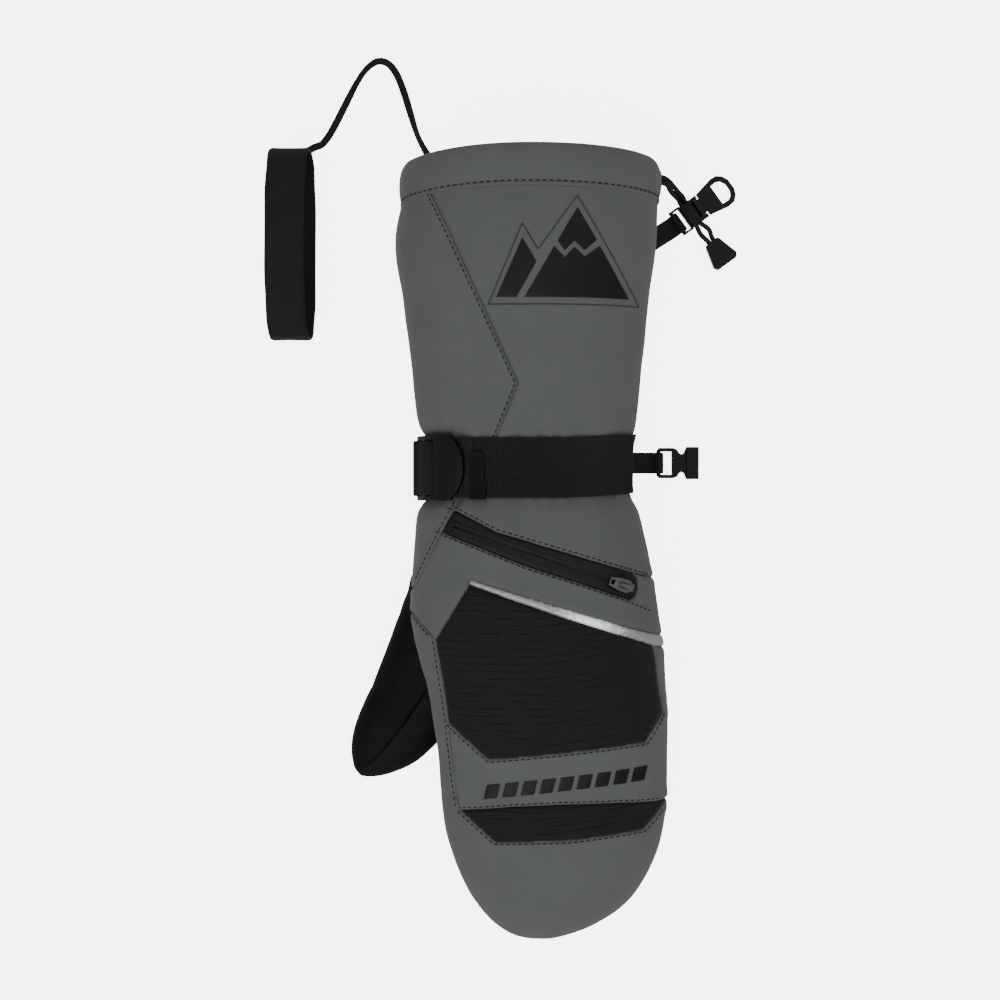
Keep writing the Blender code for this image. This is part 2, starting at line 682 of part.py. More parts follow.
def zip_puller():
    """A flat puller that lies back over the coils, hung in the slider's bail."""
    place = zip_frame(ZIP_REST)
    outline = ((1.4, -2.9), (1.4, 2.9), (-3.4, 2.8), (-8.0, 1.9), (-8.0, -1.9), (-3.4, -2.8))
    puller = part("zip_puller", prism(outline, 3.1, 3.9), "zip_metal")
    boolean(puller, cutter("puller_eye", box(-3.3, 0.5, -1.35, 1.35, 0, 6)))
    boolean(puller, cutter("puller_window", box(-7.3, -5.5, -1.1, 1.1, 0, 6)))
    return hinge_origin(settle(puller, place), place @ Vector((PULLER_PIVOT[0], 0, PULLER_PIVOT[1])))


# ---- wrist strap and buckle -----------------------------------------------------------------
def wrist_band(start, end, inner, outer, step=10.0, rows=(BELT[0], 23, 34, 45, BELT[1])):
    """Webbing round the wrist between two angles in degrees and two heights above the shell."""
    count = max(2, round(abs(end - start) / step) + 1)
    angles = [math.radians(start + (end - start) * k / (count - 1)) for k in range(count)]
    return slab([[skin(y, a, -outer) for a in angles] for y in rows],
                [[skin(y, a, -inner) for a in angles] for y in rows])


def wrist_strap():
    return part("wrist_strap", wrist_band(130, -160, STRAP_GAP, STRAP_GAP + WEBBING), "webbing")


def strap_tail():
    """The webbing's free end, lying back over itself from the buckle."""
    low = STRAP_GAP + WEBBING + 0.3
    part("strap_tail", wrist_band(128.5, 118, low, low + 1.2, 4), "webbing")
    part("strap_end_tab", wrist_band(117.3, 111, low, low + 1.5, 3,
                                     (BELT[0] - 0.8, 23, 34, 45, BELT[1] + 0.2)), "black_fabric")


def buckle_arc():
    """Centre x, centre z and radius of the arc that the buckle is bent on."""
    y = sum(BELT) / 2
    left, right, top, side = (between(BODY, y, k) for k in range(1, 5))
    centre, points = (left + right) / 2, []
    for x, rise in zip(BUCKLE_X, BUCKLE_RISE):
        half, up = (right - left) / 2 + rise, top - side + rise
        share = min(0.999, abs(x - centre) / half)
        points.append((x, side + up * (1 - share ** TOP_POWER) ** (1 / TOP_POWER)))
    return circle_through(*points)


def bend_on_buckle(bm):
    """Bend a flat (along, across, rise) solid round the buckle's arc, from the left bar on."""
    for k in range(1, 12):
        cut = 3.0 * k
        bmesh.ops.bisect_plane(bm, geom=bm.verts[:] + bm.edges[:] + bm.faces[:], dist=1e-5,
                               plane_co=(cut, 0, 0), plane_no=(1, 0, 0))
    x0, z0, radius = BUCKLE_ARC
    start = math.acos((BUCKLE_X[0] - x0) / radius)
    for vert in bm.verts:
        angle = start - vert.co.x / radius
        reach = radius + vert.co.z
        vert.co = Vector((x0 + reach * math.cos(angle), sum(BELT) / 2 + vert.co.y,
                          z0 + reach * math.sin(angle)))
    return bm


def buckle_frame():
    """A ladder buckle: left bar, window with a middle bar, and a wide thumb wing."""
    half, thick = BUCKLE_HALF, BUCKLE_THICK / 2
    wing = [(30.0 + 4.9 * math.cos(a) ** 2, 13.0 * math.sin(a))
            for a in (math.radians(d) for d in range(-75, 76, 15))]
    outline = [(-1.2, -half + 0.8), (-0.4, -half), (28.4, -half)] + wing
    outline += [(28.4, half), (-0.4, half), (-1.2, half - 0.8)]
    frame = part("buckle_frame", prism(outline, -thick, thick), "plastic")
    for name, x0, x1 in (("anchor_slot", 1.2, 8.8), ("webbing_slot", 12.4, 18.6)):
        boolean(frame, cutter(name, box(x0, x1, -13.3, 13.3, -5, 5)))
    bm = bmesh.new()
    bm.from_mesh(frame.data)
    bm.transform(Matrix.Scale(1 / MM, 4))
    bend_on_buckle(bm)
    bm.transform(Matrix.Scale(MM, 4))
    bm.to_mesh(frame.data)
    bm.free()
    return hinge_origin(frame, (BUCKLE_X[0], sum(BELT) / 2, bar_height()))


def strap_turn():
    """The webbing's turn over the buckle's middle bar."""
    outer = ((5.0, -1.0), (5.3, 0.4), (6.9, 2.0), (9.0, 2.7), (12.2, 2.7), (14.6, 2.0), (16.6, 0.4),
             (17.2, -1.0))
    inner = ((6.3, -1.0), (6.7, 0.0), (7.7, 1.0), (9.2, 1.5), (12.0, 1.5), (13.8, 1.0), (15.4, 0.0),
             (15.9, -1.0))
    ends = (-12.8, 12.8)
    grid = [[Vector((s, y, h)) for s, h in outer] for y in ends]
    under = [[Vector((s, y, h)) for s, h in inner] for y in ends]
    turn = part("strap_turn", bend_on_buckle(slab(grid, under)), "webbing")
    return hinge_origin(turn, (BUCKLE_X[0], sum(BELT) / 2, bar_height()))


def buckle_anchor():
    """Webbing that is sewn to the side of the wrist and looped round the buckle's left bar."""
    strip = part("strip", wrist_band(-165, -185, STRAP_GAP, STRAP_GAP + WEBBING, 5), "webbing")
    x, z = BUCKLE_X[0], bar_height()
    loop = part("loop", rod(3.1, (x, BELT[0] + 1.0, z), (x, BELT[1] - 1.0, z)), "webbing")
    join("buckle_anchor", strip, loop)
    boolean(strip, cutter("anchor_hole", rod(2.15, (x, 0, z), (x, 80, z))))
    return strip


def bar_height():
    x0, z0, radius = BUCKLE_ARC
    return z0 + math.sqrt(radius ** 2 - (BUCKLE_X[0] - x0) ** 2)


# ---- clip -----------------------------------------------------------------------------------
def webbing_tab(name, upper, lower, width, bar, hole):
    """A flat tab in the xz plane whose end is a loop round a bar along y."""
    half = width / 2
    tab = part(name, slab([[Vector((x, y, z)) for x, z in upper] for y in (-half, half)],
                          [[Vector((x, y, z)) for x, z in lower] for y in (-half, half)]),
               "webbing")
    x, z = bar
    loop = part("loop", rod(hole + 1.0, (x, 0.1 - half, z), (x, half - 0.1, z)), "webbing")
    join(name, tab, loop)
    boolean(tab, cutter(name + "_hole", rod(hole, (x, -20, z), (x, 20, z))))
    return tab


def clip_tab():
    """Doubled webbing from the outer side of the wrist strap to the clip."""
    x, y, z = CLIP_BAR
    upper = ((40.7 - x, 12.0), (42.5 - x, 10.2), (47.0 - x, 6.6), (51.5 - x, 4.8), (55.6 - x, 4.4))
    lower = ((40.4 - x, 9.9), (41.4 - x, 8.4), (46.0 - x, 4.8), (51.0 - x, 2.6), (55.6 - x, 2.2))
    tab = webbing_tab("clip_tab", upper, lower, CLIP_TAB, (0.0, z), 1.5)
    return settle(tab, Matrix.Translation((x, y, 0)))


def clip_socket():
    """The socket half of a small side-release buckle, hung on the tab by its bar."""
    x, y, z = CLIP_BAR
    place = Matrix.Translation((x, y, z))
    half = ((-0.2, 7.5), (7.2, 7.5), (9.0, 6.7), (10.4, 4.6), (11.6, 4.4), (12.6, 5.2),
            (13.2, 7.0), (14.2, 7.95), (14.8, 7.95))
    outline = list(half) + [(px, -py) for px, py in reversed(half)]
    socket = part("clip_socket", prism(outline, -1.5, 1.5), "plastic", place)
    boolean(socket, cutter("clip_window", box(-3, 6.4, -5.7, 5.7, -4, 4), place))
    bar = part("bar", rod(1.1, (0, -6.6, 0), (0, 6.6, 0)), "plastic", place)
    case = part("case", box(13.6, 19.6, -7.95, 7.95, -3.1, 3.1), "plastic", place)
    join("clip_socket", socket, bar, case)
    boolean(socket, cutter("clip_mouth", box(14.9, 25, -6.5, 6.5, -2.2, 2.2), place))
    return hinge_origin(socket, CLIP_BAR)


# ---- drawcord, lock and cord end -----------------------------------------------------------
def lock_place():
    return Matrix.Translation((LOCK.x, LOCK.y, 0)) @ Matrix.Rotation(LOCK_TURN, 4, "Z")


def in_lock(u, v, z):
    return lock_place() @ Vector((u, v, z))


def lock_tab():
    """Doubled webbing from the gauntlet's side seam to the cord lock."""
    upper = ((-25.2, 15.4), (-22.5, 13.8), (-18.0, 9.4), (-14.0, 5.8), (-10.0, 4.5))
    lower = ((-25.2, 13.4), (-23.2, 12.0), (-18.8, 7.6), (-14.4, 3.6), (-10.0, 2.1))
    return settle(webbing_tab("lock_tab", upper, lower, 10.2, (-7.9, 3.3), 1.4), lock_place())


def lock_frame():
    """The lock's body with its webbing bar, the drawcord's bore and cheeks for the lever's pin."""
    u, z = LEVER_PIN
    round_top = [(u + 1.9 * math.cos(a), z + 1.9 * math.sin(a))
                 for a in (math.radians(d) for d in range(0, 121, 20))]
    side = [(-3.7, 0.7), (6.5, 0.7)] + round_top + [(2.6, 6.5), (-3.0, 6.5), (-3.7, 5.6)]
    frame = part("lock_frame", extrusion(side, -6.1, 6.1), "plastic")
    arms = part("arms", box(-8.9, -2.9, -6.7, 6.7, 2.3, 4.3), "plastic")
    boolean(arms, cutter("arm_window", box(-12.0, -3.75, -5.6, 5.6, 0, 8)))
    bar = part("bar", rod(1.1, (-7.8, -6.2, 3.35), (-7.8, 6.2, 3.35)), "plastic")
    join("lock_frame", frame, arms, bar)
    boolean(frame, cutter("lock_bore", box(-2.75, 2.55, -9, 9, LOCK_BORE - 1.5, LOCK_BORE + 1.5)))
    boolean(frame, cutter("lever_slot", box(2.75, 9.0, -4.35, 4.35, 2.75, 9.0)))
    boolean(frame, cutter("pin_hole", rod(1.05, (u, -9, z), (u, 9, z))))
    return settle(frame, lock_place())


def lock_lever():
    """The release lever: a barrel on the pin and a tab with a D-shaped finger hole."""
    u, z = LEVER_PIN
    low, high = 5.2, 7.1
    side = ((7.1, 6.1), (17.0, 8.1), (20.4, 7.8), (22.8, 5.8), (24.2, 2.6))
    outline = list(side) + [(a, -b) for a, b in reversed(side)]
    lever = part("lock_lever", prism(outline, low, high), "plastic")
    neck = part("neck", box(u + 0.2, 7.9, -3.8, 3.8, low + 0.1, 6.6), "plastic")
    barrel = part("barrel", rod(1.85, (u, -4.0, z), (u, 4.0, z), 20), "plastic")
    join("lock_lever", lever, neck, barrel)
    hole_side = ((15.2, 5.2), (18.6, 5.4), (20.6, 4.4), (21.9, 1.8))
    hole = list(hole_side) + [(a, -b) for a, b in reversed(hole_side)]
    boolean(lever, cutter("finger_hole", prism(hole, 0, 12)))
    boolean(lever, cutter("lever_pin_hole", rod(1.05, (u, -9, z), (u, 9, z))))
    return hinge_origin(settle(lever, lock_place()), in_lock(u, 0, z))


def lock_pin():
    u, z = LEVER_PIN
    return part("lock_pin", rod(0.75, (u, -6.0, z), (u, 6.0, z)), "zip_metal", lock_place())


def drawcord():
    """One elastic cord round the hem's channel, both its strands out through the eyelet."""
    y, z = EYELET
    channel = [skin(173.0, math.radians(a), 3.1) for a in range(24, 337, 12)]
    face = skin(y, 0.0, -0.6).x

    def strand(side):
        """From the channel, out of the eyelet and down into the lock."""
        edge = CORD_PITCH * side
        route = [skin(172.8, side * math.radians(13), 3.1),
                 Vector((face - 3.7, y + 1.0 + 0.5 * side, z + side * 4.0)),
                 Vector((face - 2.2, y + edge, z + side * 0.9)),
                 Vector((face + 1.8, y + edge, z)),
                 Vector((face + 4.6, y - 0.9 + edge, z - 2.4)),
                 Vector((61.6 + 0.6 * side, 168.2 + edge, 30.6)),
                 Vector((64.6 + 0.8 * side, 167.0 + 0.9 * side, 22.0)),
                 Vector((66.6 + side, 167.4 + 0.7 * side, 12.6)),
                 in_lock(edge, 9.2, LOCK_BORE + 2.2), in_lock(edge, 7.0, LOCK_BORE + 0.2),
                 in_lock(edge, 3.6, LOCK_BORE)]
        return smooth_line(route, 2)

    line = list(reversed(strand(1))) + channel + strand(-1)
    return tube("drawcord", line, CORD / 2, "elastic")


def tail_line(side):
    """One strand of the drawcord's tail, from inside the lock to its knot in the cord end."""
    edge = CORD_PITCH * side
    turn = Matrix.Translation((CORD_END.x, CORD_END.y, 0)) @ Matrix.Rotation(CORD_END_TURN, 4, "Z")
    route = [in_lock(edge, 3.2, LOCK_BORE), in_lock(edge, -2.0, LOCK_BORE),
             in_lock(edge, -6.6, LOCK_BORE), in_lock(edge * 1.7 + 0.3, -9.6, 3.7),
             in_lock(edge * 1.8 + 0.5, -12.0, 3.3), turn @ Vector((-1.4, edge * 1.1, 3.1)),
             turn @ Vector((1.6, edge, 3.1)), turn @ Vector((8.5, edge, 3.1))]
    return smooth_line(route, 2)


def cord_tail():
    for name, side in (("cord_tail_upper", 1), ("cord_tail_lower", -1)):
        tube(name, tail_line(side), CORD / 2, "elastic")


def cord_end():
    """A flared cord end with a bore for the two strands."""
    place = Matrix.Translation((CORD_END.x, CORD_END.y, 0)) @ Matrix.Rotation(CORD_END_TURN, 4, "Z")
    outline = ((0, -3.1), (0.9, -3.9), (11.4, -6.7), (13.4, -5.4), (13.4, 5.4), (11.4, 6.7),
               (0.9, 3.9), (0, 3.1))
    bell = part("cord_end", prism(outline, 0.5, 5.9), "plastic", place)
    boolean(bell, cutter("cord_end_bore", box(-3, 9.4, -2.7, 2.7, 1.6, 4.6), place))
    return hinge_origin(bell, CORD_END)


# ---- leash ----------------------------------------------------------------------------------
def leash_strap():
    return tube("leash_strap", smooth_line(LEASH, 2), 1.6, "elastic")


def leash_loop():
    """The wide elastic loop for the wearer's wrist, standing as an oval."""
    x0, y0, z0 = LOOP_CENTRE
    around, rows = 32, []
    for k in range(around):
        c, s = power(2 * math.pi * k / around + 1e-9)
        ring = []
        for side, inset in ((-1, 0), (1, 0), (1, LOOP_THICK), (-1, LOOP_THICK)):
            z = z0 + (LOOP_SIZE[1] - inset) * s
            lean = LOOP_LEAN * z / (2 * z0)
            ring.append(Vector((x0 - LOOP_LEAN / 2 + lean + side * LOOP_WIDTH / 2,
                                y0 + (LOOP_SIZE[0] - inset) * c, z)))
        rows.append(ring)
    return part("leash_loop", hoop(rows), "elastic")


# ---- thumb ----------------------------------------------------------------------------------
def thumb_skin(n, angle, depth=0.0):
    """A point on the thumb, by its distance along it and the angle round it."""
    left, right, top, side = (between(THUMB, n, k) for k in range(1, 5))
    into = min(1.0, max(0.0, (n - THUMB[-1][0]) / THUMB_TIP))
    close = math.sqrt(1 - into ** 2)
    half, up, down = (left - right) / 2, top - side, side - 1.0
    across, upward = power(angle)
    m = (left + right) / 2 + 3.5 * into ** 2 + (half - depth) * close ** 1.25 * across
    up, down = (up - depth) * close ** 0.8, (down - depth) * close ** 0.6
    z = side - 1.5 * into + (up if upward > 0 else down) * upward
    n -= depth * into
    place = THUMB_ORIGIN + THUMB_AXIS * n + Vector((THUMB_AXIS.y, -THUMB_AXIS.x)) * m
    return Vector((place.x, place.y, max(z, THUMB_FLOOR + depth)))


def thumb_rings(depth, around, start=-34):
    stations = [n for n in (-34, -24, -14, -6, 2, 10, 18, 24) if n >= start]
    stations += [24 + THUMB_TIP * math.sin(math.radians(a)) for a in (20, 38, 54, 68, 80)]
    return [[thumb_skin(n, 2 * math.pi * k / around, depth) for k in range(around)] for n in stations]


def thumb_layer(name, outer, inner, gap, finish, around):
    """A sleeve of the thumb between two depths, trimmed to the hand's side."""
    end = THUMB[-1][0] + THUMB_TIP
    bm = tube_of(thumb_rings(outer, around), thumb_rings(inner, around),
                 (thumb_skin(end, 0.0, outer), thumb_skin(end, 0.0, inner)))
    sleeve = part(name, bm, finish)
    boolean(sleeve, cutter(name + "_trim", solid_body(-gap)))
    return sleeve


def thumb():
    """The thumb's outer panels, meeting along its ridge, and what is inside them."""
    shell = thumb_layer("thumb_shell", 0.0, SHELL, THUMB_GAP, "palm_leather", 24)
    ridge = [THUMB_ORIGIN + THUMB_AXIS * n + Vector((THUMB_AXIS.y, -THUMB_AXIS.x)) * m
             for n, m in ((-40, -8.0), (10, -8.0), (35, -6.4), (48, -4.6), (70, 2.0))]
    boolean(shell, cutter("thumb_ridge", wall(ridge, -5, 60)))
    bodies = sorted(islands(shell), key=lambda b: -len(b.verts))[:2]
    bodies.sort(key=lambda b: sum(v.co.x - v.co.y for v in b.verts) / len(b.verts))
    bpy.data.objects.remove(shell)
    for name, bm in zip(("thumb_outer_panel", "thumb_inner_panel"), bodies):
        mesh = bpy.data.meshes.new(name)
        bm.to_mesh(mesh)
        bm.free()
        hinge_origin(link(name, mesh, "palm_leather"), THUMB_HINGE)
    hinge_origin(thumb_layer("thumb_insulation", 1.8, 4.6, THUMB_GAP, "fill", 16), THUMB_HINGE)
    hinge_origin(thumb_layer("thumb_lining", 5.1, 6.2, THUMB_GAP, "fleece", 16), THUMB_HINGE)


def thumb_hole():
    """The opening through the hand's side into the thumb."""
    rings = []
    for n, left, right in THUMB_OPENING:
        ring = []
        for k in range(16):
            across, upward = power(2 * math.pi * (k + 0.5) / 16)
            m = (left + right) / 2 + (left - right) / 2 * across
            place = THUMB_ORIGIN + THUMB_AXIS * n + Vector((THUMB_AXIS.y, -THUMB_AXIS.x)) * m
            ring.append(Vector((place.x, place.y, 18.7 + 10.0 * upward)))
        rings.append(ring)
    return cutter("thumb_hole", loft(rings))


clear_scene()
PARTS = collection("ski_mitten")
CUTTERS = collection("cutters")
ZIP_LINE = (ZIP_END - ZIP_START).normalized()
ZIP_ARC = zip_arc()
BUCKLE_ARC = buckle_arc()
THUMB_HOLE = thumb_hole()
shell_panels()
palm_patch()
hem_band()
eyelet()
inner_layers()
pocket_bag()
knuckle_foam()
zip_coils()
zip_stop()
zip_slider()
zip_puller()
wrist_strap()
strap_tail()
buckle_frame()
strap_turn()
buckle_anchor()
clip_tab()
clip_socket()
lock_tab()
lock_frame()
lock_lever()
lock_pin()
drawcord()
cord_tail()
cord_end()
leash_strap()
leash_loop()
thumb()
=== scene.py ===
"""The looks of the ski mitten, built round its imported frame.

The mitten lies on its palm with the camera straight above it. +Y runs from the fingertips
to the cuff and +Z is up. Sizes are millimetres until a mesh is made; MM makes them metres.
"""
import json
import math

import bmesh
import bpy
import numpy as np
from mathutils import Matrix, Vector
from mathutils.bvhtree import BVHTree

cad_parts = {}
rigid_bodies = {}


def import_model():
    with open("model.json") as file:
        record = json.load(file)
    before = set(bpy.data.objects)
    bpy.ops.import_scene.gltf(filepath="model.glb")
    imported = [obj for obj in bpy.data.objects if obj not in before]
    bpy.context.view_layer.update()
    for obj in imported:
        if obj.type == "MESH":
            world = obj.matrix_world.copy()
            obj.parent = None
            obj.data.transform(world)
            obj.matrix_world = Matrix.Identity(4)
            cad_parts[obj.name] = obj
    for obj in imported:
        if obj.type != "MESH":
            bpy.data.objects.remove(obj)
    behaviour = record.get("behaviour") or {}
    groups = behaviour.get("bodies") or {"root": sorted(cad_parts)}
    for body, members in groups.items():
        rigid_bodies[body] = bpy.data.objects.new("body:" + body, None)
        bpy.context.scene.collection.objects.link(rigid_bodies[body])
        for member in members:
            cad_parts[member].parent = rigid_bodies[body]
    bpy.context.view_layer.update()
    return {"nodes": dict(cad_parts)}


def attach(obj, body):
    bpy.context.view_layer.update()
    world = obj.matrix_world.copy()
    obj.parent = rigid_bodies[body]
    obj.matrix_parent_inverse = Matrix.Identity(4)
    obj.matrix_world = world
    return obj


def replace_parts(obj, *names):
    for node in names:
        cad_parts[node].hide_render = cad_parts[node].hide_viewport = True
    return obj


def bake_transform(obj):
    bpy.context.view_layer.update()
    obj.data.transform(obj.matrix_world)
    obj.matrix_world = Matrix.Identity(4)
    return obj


for item in list(bpy.data.objects):
    bpy.data.objects.remove(item)
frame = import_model()
MM = 0.001
UP = Vector((0, 0, 1))
TURN = 2 * math.pi

# ---- the mitten's surface, as its CAD solids have it ----
TIP_START, TIP_LENGTH = -120.0, 73.0
TOP_POWER, BOTTOM_POWER, PALM_SAG = 2.4, 3.0, 1.5
SIDE_SEAM, CUFF_SEAM, WRIST = 14.8, 163.9, 34.0
# y, left edge, right edge, top, widest level, floor
BODY = (
    (182, -66.8, 53.9, 78.0, 38.0, 0.6),
    (164, -67.0, 54.0, 77.5, 38.0, 0.6),
    (143, -70.4, 53.6, 79.0, 38.0, 1.0),
    (113, -66.8, 49.8, 75.0, 36.5, 1.6),
    (90, -63.9, 47.7, 71.0, 35.0, 1.8),
    (67, -61.4, 45.6, 66.0, 33.5, 2.6),
    (54, -59.2, 43.8, 62.5, 32.0, 3.6),
    (47, -55.0, 41.4, 59.0, 31.5, 4.6),
    (34, -53.2, 40.8, 57.5, 31.5, 4.6),
    (21, -55.0, 41.4, 58.6, 31.0, 4.6),
    (14, -59.4, 45.0, 62.0, 31.0, 3.2),
    (4, -61.0, 48.0, 63.8, 30.5, 2.2),
    (-18, -62.7, 52.4, 66.0, 30.0, 1.6),
    (-34, -63.4, 54.8, 66.5, 29.5, 1.6),
    (-51, -61.0, 57.6, 66.0, 29.0, 1.6),
    (-74, -55.2, 59.1, 64.0, 28.0, 1.6),
    (-97, -51.3, 59.6, 60.0, 27.0, 1.6),
    (-120, -48.9, 59.5, 54.5, 26.0, 1.6),
)
# Seams of the back, seen from above
DIAGONAL = ((-56.6, 169.0), (-12.4, 72.8), (-22.1, 49.1), (-39.3, 20.4), (-48.2, 4.1),
            (-60.9, -21.6), (-74.0, -31.0))
POCKET_TOP = ((-44.2, 15.6), (-22.5, 4.2), (-0.9, -2.2), (19.5, -8.3), (39.4, -14.3),
              (70.0, -22.5))
POCKET_BOTTOM = ((-50.6, 4.9), (-48.6, 4.2), (-29.0, -3.6), (-9.2, -11.4), (15.7, -19.3),
                 (39.8, -27.5), (42.6, -26.0), (44.2, -22.0), (43.6, -18.0), (41.4, -14.9),
                 (40.2, -13.6))
STRIP_TOP = ((-35.6, -21.6), (-34.8, -17.6), (3.2, -29.3), (27.8, -36.9), (53.3, -44.2),
             (72.0, -49.5))
STRIP_BOTTOM = ((-35.3, -20.0), (4.1, -33.9), (43.1, -46.2), (51.0, -49.2), (72.0, -55.0))
KNUCKLE = ((51.0, -49.2), (52.1, -51.9), (56.9, -81.3), (47.7, -94.3), (-25.8, -102.1),
           (-45.1, -85.7), (-51.0, -46.3), (-35.5, -21.2))
THUMB_SIDE = ((-74.0, -33.0), (-62.0, -35.0), (-51.0, -46.3))
FINGER_SIDE = ((-45.1, -85.7), (-42.5, -113.0), (-40.0, -127.3))
PATCH_TOP = ((-40.4, -127.3), (-15.0, -124.4), (8.2, -123.2), (35.0, -122.8), (72.0, -124.0))
PATCH_BOTTOM = ((-40.0, -127.0), (-23.0, -141.2), (12.0, -139.9), (47.1, -136.0), (62.0, -121.5))
SEAMS = (DIAGONAL, POCKET_TOP, POCKET_BOTTOM, STRIP_TOP, STRIP_BOTTOM, KNUCKLE + KNUCKLE[:1],
         THUMB_SIDE, FINGER_SIDE, PATCH_TOP, PATCH_BOTTOM)
ZIP_START, ZIP_END = Vector((-43.5, 7.2)), Vector((42.0, -22.4))
ZIP_LINE = (ZIP_END - ZIP_START).normalized()
# A point on each panel of the back
PANELS = {
    "side_panel": (-45, 110), "back_panel": (10, 100), "zip_tape_upper": (0, -5),
    "zip_tape_lower": (0, -13), "middle_panel": (-10, -19), "reflective_strip": (0, -30),
    "knuckle_panel": (0, -70), "finger_band": (10, -108), "finger_patch": (10, -131),
    "fingertip_panel": (5, -160),
}


def between(table, at, column):
    """Smooth interpolation in one column of a table whose first column is the place."""
    rows = np.array(sorted(table), float)
    places, values = rows[:, 0], rows[:, column]
    steps = np.diff(values) / np.diff(places)
    slopes = np.concatenate([steps[:1], (steps[1:] + steps[:-1]) / 2, steps[-1:]])
    at = np.clip(at, places[0], places[-1])
    i = np.clip(np.searchsorted(places, at, side="right") - 1, 0, len(places) - 2)
    span = places[i + 1] - places[i]
    t = (at - places[i]) / span
    return ((2 * t ** 3 - 3 * t ** 2 + 1) * values[i]
            + (t ** 3 - 2 * t ** 2 + t) * span * slopes[i]
            + (3 * t ** 2 - 2 * t ** 3) * values[i + 1] + (t ** 3 - t ** 2) * span * slopes[i + 1])


def section(at, table=BODY):
    """Middle, half width, top and widest level of a section."""
    left, right, top, side = (between(table, at, k) for k in range(1, 5))
    return (left + right) / 2, abs(right - left) / 2, top, side


def power(angle):
    """A unit superellipse's points, squarer below than above."""
    c, s = np.cos(angle), np.sin(angle)
    n = np.where(s >= 0, TOP_POWER, BOTTOM_POWER)
    return np.sign(c) * np.abs(c) ** (2 / n), np.sign(s) * np.abs(s) ** (2 / n)


def arch(share):
    """Height of a unit superellipse over a place from its middle, 0, to its side, 1."""
    return (1 - min(1.0, share) ** TOP_POWER) ** (1 / TOP_POWER)


def skin(y, angle, depth=0.0):
    """Points of the mitten at a depth below its surface, as an (n, 3) array."""
    y, angle = np.broadcast_arrays(np.asarray(y, float), np.asarray(angle, float))
    centre, half, top, side = section(y)
    floor, rise, drop = between(BODY, y, 5), top - side, side + PALM_SAG
    into = np.clip((TIP_START - y) / TIP_LENGTH, 0, 1)
    close = np.sqrt(1 - into ** 2)
    centre, side = centre - 7.8 * into ** 6, side - 6.0 * into ** 3
    half, rise, drop = ((half - depth) * close, (rise - depth) * close ** 0.8,
                        (drop - depth) * close ** 0.55)
    across, upward = power(angle)
    z = side + np.where(upward > 0, rise, drop) * upward
    return np.stack([centre + half * across, y + depth * into, np.maximum(z, floor + depth)], -1)


def top_of(x, y, out=0.0):
    """Height of the back over a point, or of a surface that stands out from it."""
    centre, half, top, side = section(y)
    return side + (top - side + out) * arch(abs(x - centre) / (half + out))


def distances(points):
    """The distance of each point along its line."""
    gaps = np.linalg.norm(np.diff(np.array(points, float), axis=0), axis=1)
    return np.concatenate([[0], np.cumsum(gaps)])


def even_angles(y, count):
    """Angles that space points evenly round the section at y."""
    fine = np.linspace(-math.pi, math.pi, 2881)
    along = distances(skin(y, fine))
    return np.interp(np.arange(count) / count * along[-1], along, fine)


# ---- lines ----
def polyline(points, step):
    """Points at even steps along a line, with their distances."""
    line = np.array(points, float)
    along = distances(line)
    places = np.linspace(0, along[-1], max(2, round(along[-1] / step) + 1))
    return np.stack([np.interp(places, along, column) for column in line.T], -1), places


def offset_line(points, distance):
    """A line moved to its left by a distance, mitred at its corners."""
    line = [Vector(p) for p in points]
    moved = []
    for i, here in enumerate(line):
        before = here - line[i - 1] if i else line[1] - here
        after = line[i + 1] - here if i + 1 < len(line) else before
        a, b = (Vector((-way.y, way.x)).normalized() for way in (before, after))
        mitre = (a + b).normalized()
        moved.append(here + mitre * (distance / max(0.35, mitre.dot(a))))
    return moved


def from_line(points, seam):
    """Distance from points to a line in plan, and the place along it that is nearest."""
    line = np.array(seam, float)
    best = np.full(len(points), 1e9)
    place = np.zeros(len(points))
    for a, b, start in zip(line, line[1:], distances(line)):
        span = b - a
        t = np.clip(((points - a) @ span) / (span @ span), 0, 1)
        d = np.linalg.norm(points - a - t[:, None] * span, axis=1)
        place = np.where(d < best, start + t * math.sqrt(span @ span), place)
        best = np.minimum(d, best)
    return best, place


def smooth_line(points, per_span):
    """Points on a Catmull-Rom curve through the given ones."""
    pts = [Vector(p) for p in points]
    ends = [2 * pts[0] - pts[1]] + pts + [2 * pts[-1] - pts[-2]]
    line = []
    for p0, p1, p2, p3 in zip(ends, ends[1:], ends[2:], ends[3:]):
        for t in np.arange(per_span) / per_span:
            line.append(0.5 * (2 * p1 + (p2 - p0) * t + (2 * p0 - 5 * p1 + 4 * p2 - p3) * t ** 2
                               + (3 * p1 - 3 * p2 + p3 - p0) * t ** 3))
    return line + [pts[-1]]


def left_of(p, q, a):
    """Positive when a is to the left of the line from p to q in plan."""
    return (q[0] - p[0]) * (a[1] - p[1]) - (q[1] - p[1]) * (a[0] - p[0])


def crossing(a, b, seam):
    """Whether the step from a to b in plan crosses a seam."""
    return any(left_of(p, q, a) * left_of(p, q, b) < 0 and left_of(a, b, p) * left_of(a, b, q) <= 0
               for p, q in zip(seam, seam[1:]))


def circle_through(*points):
    """Centre and radius of the circle through three points."""
    points = np.array(points, float)
    a, b, c = np.linalg.solve(np.c_[2 * points, np.ones(3)], (points ** 2).sum(1))
    return a, b, math.sqrt(c + a * a + b * b)


def ripple(points, size, seed):
    """Smooth noise from -1 to 1 at 3-D points, made of a few waves in random directions."""
    rng = np.random.default_rng(seed)
    total = np.zeros(len(points))
    for _ in range(7):
        direction = rng.normal(size=3)
        direction /= np.linalg.norm(direction)
        length = size * rng.uniform(0.6, 1.6)
        total += np.sin(points @ direction * TURN / length + rng.uniform(0, 6.28))
    return total / 4.0


